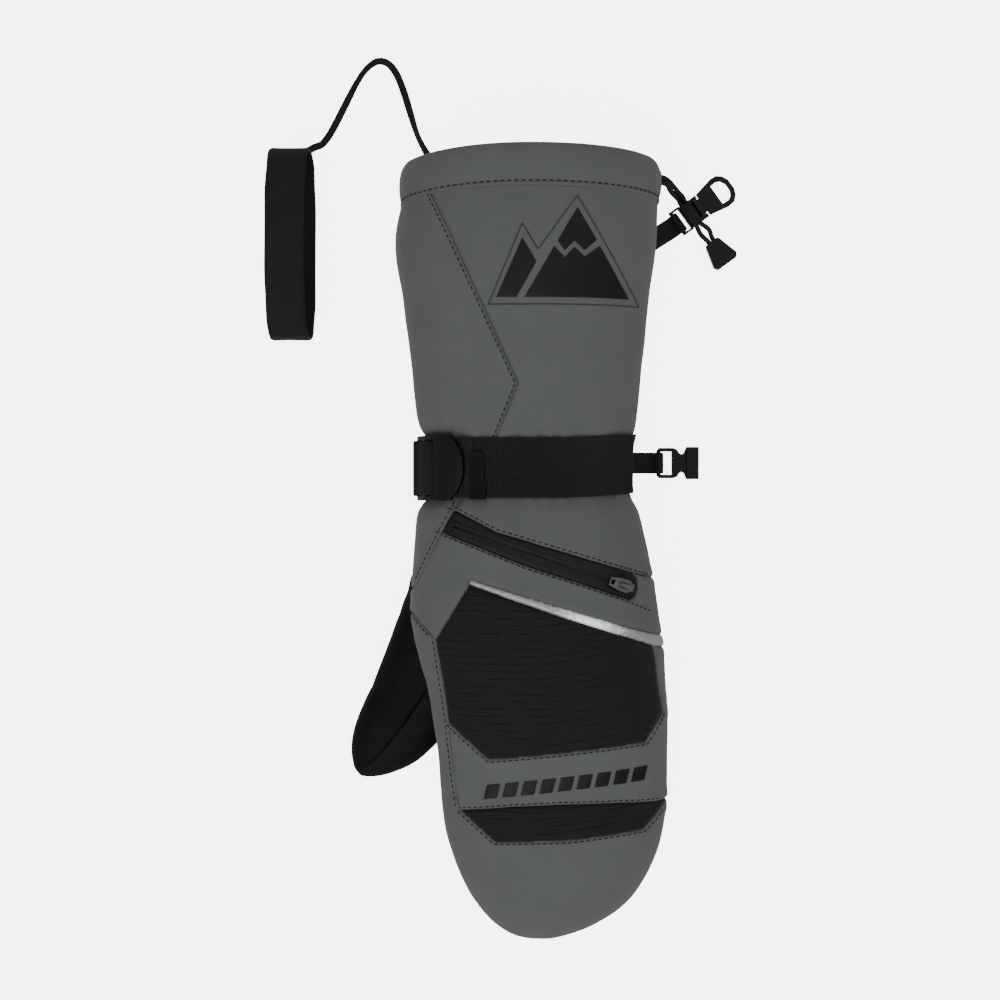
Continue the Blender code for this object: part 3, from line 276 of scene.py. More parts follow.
# ---- meshes ----
def new_object(name, bm, material, body="mitten", smooth=40):
    """A bmesh in millimetres as a piece that rides on a body, or on none when body is empty."""
    bm.transform(Matrix.Scale(MM, 4))
    mesh = bpy.data.meshes.new(name)
    bm.to_mesh(mesh)
    bm.free()
    mesh.materials.append(material)
    mesh.shade_smooth()
    mesh.set_sharp_from_angle(angle=math.radians(smooth))
    obj = bpy.data.objects.new(name, mesh)
    bpy.context.scene.collection.objects.link(obj)
    if body:
        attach(obj, body)
    return obj


def outward(bm):
    bmesh.ops.recalc_face_normals(bm, faces=bm.faces)


def grid(bm, rows, around=False):
    """Faces over rows of points; around joins each row's ends."""
    verts = [[bm.verts.new(p) for p in row] for row in rows]
    for a, b in zip(verts, verts[1:]):
        for i in range(len(a) if around else len(a) - 1):
            j = (i + 1) % len(a)
            bm.faces.new((a[i], a[j], b[j], b[i]))
    return verts


def tip(bm, edge, point):
    """Close a ring of vertices at a point."""
    pole = bm.verts.new(point)
    for a, b in zip(edge, edge[1:] + edge[:1]):
        bm.faces.new((a, b, pole))


def ring(centre, side, out, width, height, sides=6):
    """Points round an ellipse that stands on a surface."""
    return [centre + side * (width * math.cos(a)) + out * (height * math.sin(a))
            for a in np.arange(sides) * TURN / sides]


def tube(bm, rows):
    """A closed tube over rings of points."""
    verts = grid(bm, rows, True)
    bm.faces.new(verts[0][::-1])
    bm.faces.new(verts[-1])


def woven(bm, rows, along=None):
    """A tube with a UV map in millimetres; it has ends where its distances along are given."""
    layer = bm.loops.layers.uv.new("weave")
    verts = [[bm.verts.new(p) for p in row] for row in rows]
    across = distances([*rows[0], rows[0][0]])
    if along is not None:
        bm.faces.new(verts[0])
        bm.faces.new(verts[-1])
    else:
        along = distances([np.mean(row, axis=0) for row in rows])
    for k, (a, b) in enumerate(zip(verts, verts[1:])):
        for i, j in enumerate([*range(1, len(a)), 0]):
            face = bm.faces.new((a[i], a[j], b[j], b[i]))
            corners = ((k, i), (k, i + 1), (k + 1, i + 1), (k + 1, i))
            for loop, (row, column) in zip(face.loops, corners):
                loop[layer].uv = (along[row], across[column])
    outward(bm)


def parts_of(faces):
    """Faces with their corners and edges."""
    return [*{v for f in faces for v in f.verts}, *{e for f in faces for e in f.edges}, *faces]


def cut(bm, place, normal, geom=None):
    """Cut a mesh, or the given part of it, with a plane; return that part again."""
    if geom is None:
        geom = bm.verts[:] + bm.edges[:] + bm.faces[:]
    return bmesh.ops.bisect_plane(bm, geom=geom, dist=1e-4, plane_co=place, plane_no=normal)["geom"]


def cut_along(bm, seam, offsets, lowest, past):
    """Cut faces above a level along a line in plan and beside it, going past its corners."""
    for a, b in zip(seam, seam[1:]):
        start, along = Vector(a), Vector(b) - Vector(a)
        length = along.length
        along.normalize()
        normal = Vector((-along.y, along.x))
        near = []
        for face in bm.faces:
            centre = face.calc_center_median()
            offset = centre.xy - start
            if (centre.z >= lowest and -past < offset.dot(along) < length + past
                    and abs(offset.dot(normal)) < 4.0):
                near.append(face)
        geom = parts_of(near)
        for distance in offsets:
            geom = cut(bm, (*(start + normal * distance), 0), (*normal, 0), geom)


def pushed(bm, points, normals, move, lowest):
    """Move vertices along their normals, those near the floor only inward."""
    move = np.where(points[:, 2] < lowest, np.minimum(move, 0.0), move)
    for vert, place in zip(bm.verts, points + normals * move[:, None]):
        vert.co = place


def panel_mesh(faces):
    """A new bmesh that holds only these faces."""
    bm = bmesh.new()
    copies = {}
    for face in faces:
        for vert in face.verts:
            if vert not in copies:
                copies[vert] = bm.verts.new(vert.co)
        bm.faces.new([copies[v] for v in face.verts])
    return bm


def solidify(obj, thickness, offset=-1.0):
    modifier = obj.modifiers.new("thickness", "SOLIDIFY")
    modifier.thickness = thickness * MM
    modifier.offset = offset


def sheet(name, node, rows, around, material, thickness):
    """A smooth sheet over rows of points that stands for a CAD node."""
    bm = bmesh.new()
    grid(bm, rows, around)
    outward(bm)
    obj = new_object(name, bm, material, smooth=60)
    solidify(obj, thickness)
    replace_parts(obj, node)


def soften(obj, width, segments, angle=50):
    bevel = obj.modifiers.new("soft_edges", "BEVEL")
    bevel.width = width * MM
    bevel.segments = segments
    bevel.limit_method = "ANGLE"
    bevel.angle_limit = math.radians(angle)
    return bevel


def settled(obj):
    bpy.context.view_layer.update()
    return obj.evaluated_get(bpy.context.evaluated_depsgraph_get())


def cad_mesh(node):
    """A CAD piece's mesh in millimetres, with its doubled vertices joined."""
    bm = bmesh.new()
    bm.from_mesh(frame["nodes"][node].data)
    bm.transform(Matrix.Scale(1 / MM, 4))
    bmesh.ops.remove_doubles(bm, verts=bm.verts, dist=2e-3)
    return bm


SHARP_ANGLE, MAX_OUTSIDE = 28, 0.08


def refined(node, material, body, width, segments=2):
    """A CAD piece again with soft edges and a finish of its own."""
    bm = cad_mesh(node)
    bmesh.ops.dissolve_limit(bm, angle_limit=math.radians(1.5), verts=bm.verts, edges=bm.edges)
    obj = new_object(node + "_moulded", bm, material, body)
    if width:
        bevel = soften(obj, width, segments, SHARP_ANGLE)
        bevel.harden_normals = True
        plain = [Vector(corner) for corner in obj.bound_box]
        for share in (1.0, 0.5, 0.25, 0.0):  # a bevel that throws a corner out is made smaller
            bevel.width = width * MM * share
            soft = settled(obj).bound_box
            if all((Vector(a) - b).length < MAX_OUTSIDE * MM for a, b in zip(soft, plain)):
                break
        if not share:
            obj.modifiers.remove(bevel)
    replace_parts(obj, node)
    return obj


# ---- finishes ----
def srgb(*levels):
    """Linear colour from 0 to 255 levels."""
    return tuple(((v / 255 + 0.055) / 1.055) ** 2.4 if v > 10 else v / 255 / 12.92 for v in levels)


class Shader:
    """A material's nodes, added one after another."""

    def __init__(self, name, levels, roughness, specular=None, metallic=0.0, **sockets):
        self.material = bpy.data.materials.new(name)
        self.material.use_nodes = True
        self.nodes = self.material.node_tree.nodes
        self.links = self.material.node_tree.links
        self.surface = self.nodes["Principled BSDF"]
        self.colour = srgb(*levels)
        self.set("Base Color", (*self.colour, 1.0))
        self.set("Roughness", roughness)
        self.set("Metallic", metallic)
        if specular is not None:
            self.set("Specular IOR Level", specular)
        for socket, value in sockets.items():
            self.set(socket.replace("_", " "), value)
        self.place = self.nodes.new("ShaderNodeTexCoord").outputs["Object"]
        self.height = None

    def set(self, socket, value):
        self.surface.inputs[socket].default_value = value

    def node(self, kind, inputs=None, output=0, **settings):
        """A new node's output."""
        made = self.nodes.new("ShaderNode" + kind)
        for key, value in settings.items():
            setattr(made, key, value)
        for key, value in (inputs or {}).items():
            if isinstance(value, bpy.types.NodeSocket):
                self.links.new(value, made.inputs[key])
            else:
                made.inputs[key].default_value = value
        return made.outputs[output]

    def math(self, operation, a, b=0.0):
        return self.node("Math", {0: a, 1: b}, operation=operation)

    def ramp(self, factor, low, high, start=0.0, end=1.0):
        """A factor mapped from between low and high to between start and end."""
        return self.node("MapRange", {"Value": factor, "From Min": low, "From Max": high,
                                      "To Min": start, "To Max": end}, "Result")

    def noise(self, scale, detail=3.0, roughness=0.55, vector=None):
        return self.node("TexNoise", {"Vector": vector or self.place, "Scale": scale,
                                      "Detail": detail, "Roughness": roughness}, "Fac")

    def waves(self, pitch, axis, distortion=0.0, vector=None, detail_scale=1.0):
        """Parallel ridges with a pitch in millimetres along an axis."""
        return self.node("TexWave", {"Vector": vector or self.place, "Detail": 2.0,
                                     "Scale": 100 * math.pi / pitch, "Distortion": distortion,
                                     "Detail Scale": detail_scale}, "Fac",
                         bands_direction=axis, wave_profile="SIN")

    def weave(self, pitch, axis, flip=1):
        """Ridges with a pitch in millimetres along a strap (X), across it (Y) or diagonally."""
        place = self.node("UVMap", uv_map="weave")
        place = self.node("Mapping", {"Vector": place, "Scale": (1, flip, 1)})
        return self.node("TexWave", {"Vector": place, "Scale": 0.314 / pitch, "Distortion": 0.3},
                         "Fac", bands_direction=axis)

    def vary(self, factor, low, high, darkest, lightest):
        """Colour that follows a factor, from a darker to a lighter shade."""
        shade = self.ramp(factor, low, high, darkest, lightest)
        scaled = self.node("VectorMath", {0: self.colour, "Scale": shade}, operation="SCALE")
        self.links.new(scaled, self.surface.inputs["Base Color"])
        return self

    def rough(self, factor, low, high):
        self.links.new(self.ramp(factor, 0.0, 1.0, low, high), self.surface.inputs["Roughness"])
        return self

    def bump(self, height, depth):
        """Add relief; depth is in millimetres."""
        inputs = {"Height": height, "Distance": depth * MM, "Strength": 1.0}
        if self.height is not None:
            inputs["Normal"] = self.height
        self.height = self.node("Bump", inputs, "Normal")
        self.links.new(self.height, self.surface.inputs["Normal"])
        return self


def clouded(name, levels, roughness, shade, *bumps, rough=None, **settings):
    """A finish in which noise sets the shade, the relief and, if asked, the roughness.

    shade is darkest, lightest and the noise; rough is lowest, highest and the noise; a bump is
    its depth and the noise. A noise is its scale, detail and roughness.
    """
    s = Shader(name, levels, roughness, **settings)
    s.vary(s.noise(*shade[2:]), 0.3, 0.7, *shade[:2])
    if rough:
        s.rough(s.noise(*rough[2:]), *rough[:2])
    for depth, *noise in bumps:
        s.bump(s.noise(*noise), depth)
    return s.material


def softshell(name="softshell", level=80):
    s = Shader(name, (level, level + 2, level + 3), 0.86, 0.25, Sheen_Weight=0.12,
               Sheen_Roughness=0.5)
    cross = s.math("MULTIPLY", s.waves(0.9, "X", 0.6), s.waves(0.9, "Y", 0.6))
    cloud = s.noise(60.0, 4.0)
    s.vary(s.math("ADD", s.math("MULTIPLY", cross, 0.35), cloud), 0.3, 0.95, 0.93, 1.06)
    s.bump(cross, 0.05).bump(s.noise(1400.0, 2.0), 0.035).bump(s.noise(110.0, 3.0), 0.12)
    return s.material


def ribbed_cloth():
    """Black cloth with broken crosswise creases that climb toward the outer side, darkened by
    painted shade.
    """
    s = Shader("ribbed_cloth", (17, 18, 20), 0.76, 0.18, Sheen_Weight=0.05)
    x, y = (s.node("SeparateXYZ", {0: s.place}, k) for k in (0, 1))
    climb = s.math("MULTIPLY", s.math("MAXIMUM", x, 0.0), 0.15)
    wobble = s.math("MULTIPLY", s.noise(70.0, 2.0), 0.0012)
    level = s.math("ADD", s.math("SUBTRACT", y, climb), wobble)
    rows = s.node("CombineXYZ", {0: x, 1: level, 2: 0.0})

    def creases(pitch, sharpness):
        return s.math("POWER", s.math("SUBTRACT", 1.0, s.waves(pitch, "Y", 0.0, rows)), sharpness)

    def patches(across, along, low, high):
        stretched = s.node("Mapping", {"Vector": rows, "Scale": (across, along, 1)})
        return s.ramp(s.noise(1.0, 1.0, 0.5, stretched), low, high)

    main = s.math("MULTIPLY", creases(3.5, 14.0), patches(70.0, 570.0, 0.42, 0.6))
    fine = s.math("MULTIPLY", creases(1.75, 10.0), patches(110.0, 900.0, 0.5, 0.68))
    tick_waves = s.math("POWER", s.waves(2.6, "X", 3.0, rows, 0.7), 10.0)
    ticks = s.math("MULTIPLY", tick_waves, patches(420.0, 260.0, 0.58, 0.7))
    creases_and_painted_shade = s.math("MAXIMUM", s.math("ADD", main, s.math("MULTIPLY", fine, 0.5)),
                     s.math("MULTIPLY", ticks, 0.6))
    # Painted shade: the creases and ticks are painted darker, and the same mask sinks them as
    # relief.
    s.vary(creases_and_painted_shade, 0.0, 1.0, 1.03, 0.45)
    s.bump(s.math("SUBTRACT", 1.0, creases_and_painted_shade), 0.45).bump(s.noise(900.0), 0.05)
    return s.material


def reflective(painted_highlight_x=0.0215):
    """A reflective film with a painted highlight: its colour is painted lighter round a place along
    the strip.
    """
    s = Shader("reflective_film", (148, 150, 152), 0.42, metallic=0.3)
    dots = s.node("TexVoronoi", {"Vector": s.place, "Scale": 2200.0})
    x = s.node("SeparateXYZ", {0: s.place})
    apart = s.math("ABSOLUTE", s.math("SUBTRACT", x, painted_highlight_x))
    painted_highlight = s.math("SUBTRACT", 1.0, s.math("MULTIPLY", apart, 75.0))
    # Painted highlight: the colour is painted lighter round that place, made grainy with noise.
    s.vary(s.math("ADD", painted_highlight, s.math("MULTIPLY", s.noise(800.0), 1.3)), 0.4, 1.6, 0.95, 4.4)
    s.rough(s.noise(500.0), 0.26, 0.44).bump(dots, 0.04).bump(s.noise(120.0), 0.08)
    return s.material


def palm_cloth(name="palm_leather", level=10):
    s = Shader(name, (level, level, level + 1), 0.68, 0.14)
    cells = s.node("TexVoronoi", {"Vector": s.place, "Scale": 620.0}, "Distance",
                   feature="DISTANCE_TO_EDGE")
    grain = s.ramp(cells, 0.0, 0.25)
    s.vary(s.noise(70.0), 0.3, 0.7, 0.85, 1.15).rough(grain, 0.74, 0.62)
    s.bump(grain, 0.09).bump(s.noise(160.0), 0.15)
    return s.material


def grip():
    s = Shader("grip_patch", (12, 12, 13), 0.62, 0.25)
    turned = s.node("Mapping", {"Vector": s.place, "Rotation": (0, 0, math.radians(45))})
    mesh = s.math("MAXIMUM", *(s.waves(3.2, axis, 0.0, turned) for axis in "XY"))
    s.vary(s.noise(90.0), 0.3, 0.7, 0.85, 1.15).bump(mesh, 0.35).bump(s.noise(700.0), 0.05)
    return s.material


def webbing(name="webbing", level=17, along=1.4, across=1.1):
    """Webbing whose weave follows its own length and width, with painted highlights on its ribs and
    painted shade between them.
    """
    s = Shader(name, (level, level, level + 1), 0.72, 0.2, Sheen_Weight=0.04)
    weave_relief_and_painted_shade = s.math("MULTIPLY", s.weave(across, "Y"), s.weave(along, "X"))
    # Painted highlight and shade: the rib tops are painted lighter and the hollows between them
    # darker, beside random noise.
    s.vary(s.math("ADD", weave_relief_and_painted_shade, s.noise(120.0)), 0.35, 1.3, 0.6, 1.75)
    s.bump(weave_relief_and_painted_shade, 0.12).bump(s.noise(1500.0), 0.04)
    return s.material


def braid():
    s = Shader("braided_cord", (17, 17, 18), 0.6, 0.25)
    strands = s.math("MAXIMUM", s.weave(0.8, "DIAGONAL"), s.weave(0.8, "DIAGONAL", -1))
    s.vary(strands, 0.2, 1.0, 0.65, 1.15).bump(strands, 0.14)
    return s.material


SOFTSHELL, OUTLINE, RIBBED = softshell(), softshell("softshell_welt", 46), ribbed_cloth()
REFLECTIVE, GRIP, BRAID = reflective(), grip(), braid()
PALM, PALM_DARK = palm_cloth(), palm_cloth("palm_leather_dark", 4)
WEBBING, LEASH_CLOTH = webbing(), webbing("leash_webbing", 16, 0.9, 1.3)
TAPE = clouded("zip_tape_film", (15, 16, 18), 0.62, (0.9, 1.08, 80.0), (0.03, 700.0),
               (0.1, 90.0), specular=0.22)
PLASTIC = clouded("moulded_plastic", (6, 6, 7), 0.44, (0.9, 1.12, 90.0), (0.02, 1300.0, 2.0),
                  rough=(0.34, 0.46, 260.0), specular=0.2)
PRINT = clouded("rubber_print", (8, 9, 11), 0.55, (0.92, 1.1, 120.0), (0.025, 1100.0),
                specular=0.2)
METAL = clouded("gunmetal", (92, 94, 96), 0.42, (0.75, 1.1, 300.0), (0.012, 1800.0),
                rough=(0.28, 0.46, 700.0), metallic=0.7)
THREAD = clouded("stitching", (12, 12, 14), 0.7, (0.7, 1.2, 900.0), (0.04, 3000.0),
                 specular=0.15)
FLEECE = clouded("fleece", (40, 41, 43), 0.95, (0.6, 1.3, 260.0, 5.0), (0.7, 420.0, 5.0, 0.7),
                 (0.12, 2200.0), Sheen_Weight=0.5, Sheen_Roughness=0.4)
WADDING = clouded("wadding", (206, 205, 198), 0.95, (0.85, 1.05, 200.0, 5.0),
                  (0.6, 300.0, 5.0))
FILM = clouded("membrane_film", (168, 176, 182), 0.45, (0.9, 1.05, 100.0), (0.2, 240.0))


# ---- camera, light and floor ----
def studio():
    """A camera straight above, a broad soft light on each side and a bright pale floor."""
    scene = bpy.context.scene
    data = bpy.data.cameras.new("camera")
    data.lens = 68.2
    data.clip_start, data.clip_end = 0.02, 20
    camera = bpy.data.objects.new("camera", data)
    camera.location = (-0.0207, 0.019, 0.938)
    scene.collection.objects.link(camera)
    scene.camera = camera

    scene.world = bpy.data.worlds.new("studio")
    scene.world.use_nodes = True
    sky = scene.world.node_tree.nodes["Background"].inputs
    sky["Color"].default_value = (1.0, 1.0, 1.0, 1.0)
    sky["Strength"].default_value = 0.55
    for name, place, size, power_in_watts in (("key", (-0.45, -0.85, 1.4), 1.1, 17.0),
                                              ("fill", (0.8, 0.6, 1.4), 1.4, 7.0)):
        light = bpy.data.lights.new(name, "AREA")
        light.size = size
        light.energy = power_in_watts
        lamp = bpy.data.objects.new(name, light)
        lamp.location = place
        lamp.rotation_euler = (-Vector(place)).to_track_quat("-Z", "Y").to_euler()
        scene.collection.objects.link(lamp)

    bm = bmesh.new()
    bmesh.ops.create_grid(bm, x_segments=1, y_segments=1, size=3.0)
    mesh = bpy.data.meshes.new("floor")
    bm.to_mesh(mesh)
    bm.free()
    floor = bpy.data.objects.new("floor", mesh)
    floor.location = (0, 0, -0.0002)
    pale = Shader("floor", (238, 238, 239), 0.9)
    pale.set("Base Color", (0.86, 0.86, 0.865, 1.0))
    pale.set("Emission Color", (1.0, 1.0, 1.0, 1.0))
    pale.set("Emission Strength", 5.4)
    mesh.materials.append(pale.material)
    floor.visible_diffuse = False
    floor.visible_glossy = False
    scene.collection.objects.link(floor)


studio()

# ---- outer shell ----
SHELL_THICK = 1.2
FLAT_LEVEL = 2.2  # below this the mitten rests on the floor
SEAM_CUTS = (0.0, 0.8, -0.8, 1.8, -1.8)  # places on a seam and beside it where cloth is cut
SEAM_LEVEL, PAST_CORNER = SIDE_SEAM - 0.1, 2.5
ZIP_SLIT = (tuple(ZIP_START - ZIP_LINE * 4), tuple(ZIP_END + ZIP_LINE * 2))


def shell_surface():
    """The mitten's whole outer surface, cut along its seams."""
    bm = bmesh.new()
    angles = even_angles(-60.0, 216)
    into_tip = np.sin(np.radians(np.linspace(0, 88.6, 66)))
    stations = [*np.arange(CUFF_SEAM, TIP_START, -1.35), *(TIP_START - TIP_LENGTH * into_tip)]
    rows = grid(bm, [skin(y, angles) for y in stations], True)
    tip(bm, rows[-1], skin(TIP_START - TIP_LENGTH, 0.0))
    for z in (SIDE_SEAM - 1.0, SIDE_SEAM, SIDE_SEAM + 1.0):
        cut(bm, (0, 0, z), UP)
    for y in (WRIST - 0.8, WRIST, WRIST + 0.8):
        centres = ((f, f.calc_center_median()) for f in bm.faces)
        low = [f for f, centre in centres if centre.z < SIDE_SEAM and abs(centre.y - y) < 4]
        cut(bm, (0, y, 0), (0, 1, 0), parts_of(low))
    for seam in SEAMS:
        cut_along(bm, seam, SEAM_CUTS, SEAM_LEVEL, PAST_CORNER)
    cut_along(bm, ZIP_SLIT, SEAM_CUTS[:1], SEAM_LEVEL, PAST_CORNER)
    bmesh.ops.remove_doubles(bm, verts=bm.verts, dist=1e-3)
    outward(bm)
    return bm


def sewn(bm):
    """Press the surface in along its seams, pucker it beside them and let it undulate."""
    points, normals = (np.array([getattr(v, k) for v in bm.verts]) for k in ("co", "normal"))
    x, y, z = points.T
    move = np.zeros(len(points))
    nearest = np.abs(z - SIDE_SEAM)
    for number, seam in enumerate(SEAMS):
        d, s = from_line(points[:, :2], seam)
        d = np.where(z > SIDE_SEAM - 0.05, d, 1e9)
        nearest = np.minimum(nearest, d)
        pucker = np.sin(s * TURN / 5.2 + 1.3 * np.sin(s / 7.0 + number))
        move += 0.10 * pucker * np.exp(-((d - 2.2) / 2.2) ** 2)
    nearest = np.minimum(nearest, np.where(z < SIDE_SEAM, np.abs(y - WRIST), 1e9))
    groove = 0.85 * np.exp(-(nearest / 0.62) ** 2)
    swelling = 0.30 * np.exp(-((nearest - 2.6) / 1.8) ** 2)
    move += swelling - groove + 0.30 * ripple(points, 46.0, 3) + 0.12 * ripple(points, 17.0, 4)
    around = np.arctan2(z - 30.0, x + 6.0)
    gathers = np.sin(around * 19 + 1.7 * np.sin(around * 5) + y * 0.03)
    move += 0.55 * gathers * np.exp(-((y - WRIST) / 26.0) ** 2)
    pushed(bm, points, normals, move, FLAT_LEVEL)


def flood(bm):
    """Split the surface's faces into panels at its seams."""
    plan = {f: f.calc_center_median() for f in bm.faces}
    left, regions = set(bm.faces), []
    lines = [*SEAMS, ((-47.3, 8.5), ZIP_SLIT[1])]
    boxes = [(min(p[0] for p in s) - 2, max(p[0] for p in s) + 2,
              min(p[1] for p in s) - 2, max(p[1] for p in s) + 2) for s in lines]

    def parted(here, there):
        """Whether a seam runs between two neighbouring faces."""
        if (here.z > SIDE_SEAM) != (there.z > SIDE_SEAM):
            return True
        if here.z < SIDE_SEAM:
            return (here.y > WRIST) != (there.y > WRIST)
        return any(x0 < here.x < x1 and y0 < here.y < y1 and crossing(here, there, seam)
                   for seam, (x0, x1, y0, y1) in zip(lines, boxes))

    while left:
        region, search = [], [left.pop()]
        while search:
            face = search.pop()
            region.append(face)
            for other in {f for edge in face.edges for f in edge.link_faces}:
                if other in left and not parted(plan[face], plan[other]):
                    left.discard(other)
                    search.append(other)
        regions.append(region)
    return regions


def shell():
    """Every panel of the shell, each standing for its CAD node."""
    whole = shell_surface()
    regions = [r for r in flood(whole) if len(r) > 12]
    sewn(whole)
    tree = BVHTree.FromBMesh(whole)
    seeds = {name: (x, y, top_of(x, y)) for name, (x, y) in PANELS.items()}
    seeds["gauntlet_underside"] = (0, 100, 1.8)
    seeds["palm_panel"] = (0, -60, 1.6)
    finishes = {"knuckle_panel": RIBBED, "finger_patch": RIBBED, "palm_panel": PALM,
                "zip_tape_upper": TAPE, "zip_tape_lower": TAPE, "reflective_strip": REFLECTIVE}
    centres = [np.array([f.calc_center_median() for f in r]) for r in regions]
    for name, seed in seeds.items():
        which = min(range(len(regions)),
                    key=lambda k: np.linalg.norm(centres[k] - seed, axis=1).min())
        panel = new_object(name + "_cloth", panel_mesh(regions[which]),
                           finishes.get(name, SOFTSHELL))
        solidify(panel, SHELL_THICK)
        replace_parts(panel, name)
    whole.free()
    return tree


SURFACE = shell()


def on_surface(x, y, lift=0.0):
    """The point of the finished back over a place in plan, and its normal."""
    hit, normal, _, _ = SURFACE.ray_cast(Vector((x, y, 200.0)), -UP)
    if hit is None:
        return Vector((x, y, top_of(x, y) + lift)), UP
    return hit + normal * lift, normal


# ---- stitches and prints ----
def run_on(points, offset=0.0, lift=0.0):
    """Points and normals on the back under a line in plan, moved sideways by an offset."""
    line, _ = polyline(offset_line(points, offset), 0.6)
    return zip(*(on_surface(x, y, lift) for x, y in line))


def stitch(bm, points, normals, length=2.1, gap=0.8):
    """Rounded dashes of thread along points on a surface, their ends sunk into the cloth."""
    width, height, sunk = 0.23, 0.24, 0.05
    line, normals = np.array(points), np.array(normals)
    along = distances(line)
    for start in np.arange(0.3, along[-1] - length, length + gap):
        rings = []
        for share, size, rise in ((0.0, 0.35, -0.3), (0.16, 0.9, 0.6), (0.5, 1.0, 1.0),
                                  (0.84, 0.9, 0.6), (1.0, 0.35, -0.3)):
            at = start + share * length
            here, ahead, out = (Vector([np.interp(place, along, column) for column in table.T])
                                for place, table in ((at, line), (at + 0.2, line), (at, normals)))
            out.normalize()
            side = (ahead - here).cross(out).normalized()
            if side.length < 0.5:
                side = Vector((1, 0, 0))
            rings.append(ring(here + out * (height * rise - sunk), side, out,
                              width * size, height * size))
        tube(bm, rings)


def thin_cord(bm, points, normals, radius):
    """A thin round line lying on a surface."""
    befores, aheads = (points[0], *points), (*points[1:], points[-1])
    sides = [(b - a).cross(out).normalized() for a, b, out in zip(befores, aheads, normals)]
    tube(bm, [ring(here, side, out, radius, radius)
              for here, side, out in zip(points, sides, normals)])


def draped(name, outlines, material, thickness, lift=0.06, step=2.5, place=None, edge=0.12):
    """Flat shapes in plan laid on the back, with a thickness and soft edges."""
    bm = bmesh.new()
    for outline in outlines:
        bm.faces.new([bm.verts.new((x, y, 0)) for x, y in outline])
    outward(bm)
    for face in bm.faces:
        if face.normal.z < 0:
            face.normal_flip()
    corners = [v.co.copy() for v in bm.verts]
    for k in (0, 1):
        values = [corner[k] for corner in corners]
        axis = Vector((1 - k, k, 0))
        for at in np.arange(min(values) + step, max(values), step):
            cut(bm, axis * at, axis)
    for vert in bm.verts:
        x, y = vert.co.xy
        vert.co = place(x, y) if place else on_surface(x, y, lift)[0]
    obj = new_object(name, bm, material)
    solidify(obj, thickness, 1.0)
    soften(obj, edge, 2)
    return obj


def topstitching():
    """Rows of stitches beside the seams of the back."""
    bm = bmesh.new()
    rows = ((((-53.3, 161.0), *DIAGONAL[1:-2], (-60.2, -20.2)), -1.25),
            ((*POCKET_TOP[:-1], (48.5, -17.0)), 1.2),
            (((39.6, -15.2), (48.3, -17.6)), 0.4),
            ((*POCKET_BOTTOM[1:6], (50.9, -32.3)), -1.0),
            (((-51.0, -46.3), (-45.1, -85.7), (-25.8, -102.1), (47.7, -94.3), (56.6, -81.3)),
             -1.15),
            ((*PATCH_TOP[:-1], (55.5, -123.4)), 1.1),
            ((*PATCH_BOTTOM[:-1], (57.0, -126.8)), -1.2),
            (((-45.4, -86.5), (-42.6, -113.0), (-40.6, -126.0)), -1.0),
            (((-62.0, -35.0), (-52.0, -45.2)), -1.0))
    for line, offset in rows:
        stitch(bm, *run_on(line, offset))
    new_object("topstitching", bm, THREAD)


def prints():
    """Two plain peaks on the gauntlet and a row of slanted bars over the fingers."""
    peaks = (((14.5, 152), (23.2, 137.4), (17.7, 132.8), (13.1, 137), (8.7, 132.4), (5.5, 136.9)),
             ((3.9, 134.2), (8.7, 129.4), (13.1, 134), (17.7, 129.8), (24.7, 134.9),
              (38.6, 111.6), (-9.5, 111.6)),
             ((-10.6, 138), (-4.2, 127.4), (-13.2, 111.6), (-22.4, 111.6)))
    draped("peaks_print", peaks, PRINT, 0.35)
    edge = ((-26.0, 108.4), (-10.6, 144.8), (-3.4, 132.8), (14.5, 157.6), (44.0, 108.4),
            (-26.0, 108.4))
    bm = bmesh.new()
    thin_cord(bm, *run_on(edge, 0.0, 0.05), 0.3)
    new_object("peaks_outline", bm, OUTLINE)
    bar, first, pitch = ((0, 0), (6.2, 0.7), (7.7, 7.4), (1.5, 6.7)), (-28.2, -120.9), (8.6, 1.0)
    bars = [[(first[0] + pitch[0] * k + x, first[1] + pitch[1] * k + y) for x, y in bar]
            for k in range(9)]
    draped("bar_print", bars, PRINT, 0.4)


topstitching()
prints()


# ---- hem and lining ----
HEM_SAG = (4.4, 2.8)  # how much lower the hem sits at the thumb's side and at the outer side
HEM_SAG_START, HEM_SAG_LENGTH = 150, 12
HEM_SEAM, HEM_MIDDLE = 164.25, 172


def hem_skin(y, angle, depth):
    """Points of the mitten where its hem is, which sits lower at the sides than on top."""
    points = skin(y, angle, depth)
    across = power(angle)[0]
    sag = np.where(across < 0, *HEM_SAG) * across ** 2
    points[..., 1] -= sag * np.clip((y - HEM_SAG_START) / HEM_SAG_LENGTH, 0, 1)
    return points


def hem():
    """The folded hem with its drawcord channel, gathered a little, and its double seam."""
    profile = ((162.2, 0.35), (162.1, -0.2), (162.5, -0.75), (163.4, -0.85), (164.0, -0.35),
               (164.5, -0.3), (165.2, -0.95), (167.0, -1.45), (170.0, -1.75), (173.5, -1.7),
               (177.0, -1.2), (179.8, -0.2), (181.6, 1.2), (182.2, 2.6), (182.0, 4.2),
               (180.6, 5.7), (177.5, 6.7), (173.0, 7.0), (168.5, 6.9), (165.0, 6.7),
               (162.5, 6.9))
    angles = even_angles(170.0, 300)
    turn = np.linspace(0, TURN, 301)[:-1]
    puff = 0.35 * np.sin(31 * turn + 2 * np.sin(5 * turn)) + 0.25 * np.sin(13 * turn + 1)
    rows = [hem_skin(y, angles, depth - 0.45 * puff * math.exp(-((y - HEM_MIDDLE) / 6.5) ** 2))
            for y, depth in profile]
    sheet("hem_band_cloth", "hem_band", rows, True, SOFTSHELL, 0.5)
    seam, beyond = (hem_skin(HEM_SEAM, np.append(angles, angles[0]), depth)
                    for depth in (-0.42, -1.42))
    bm = bmesh.new()
    stitch(bm, seam, beyond - seam, 2.0, 1.2)
    new_object("hem_stitching", bm, THREAD)


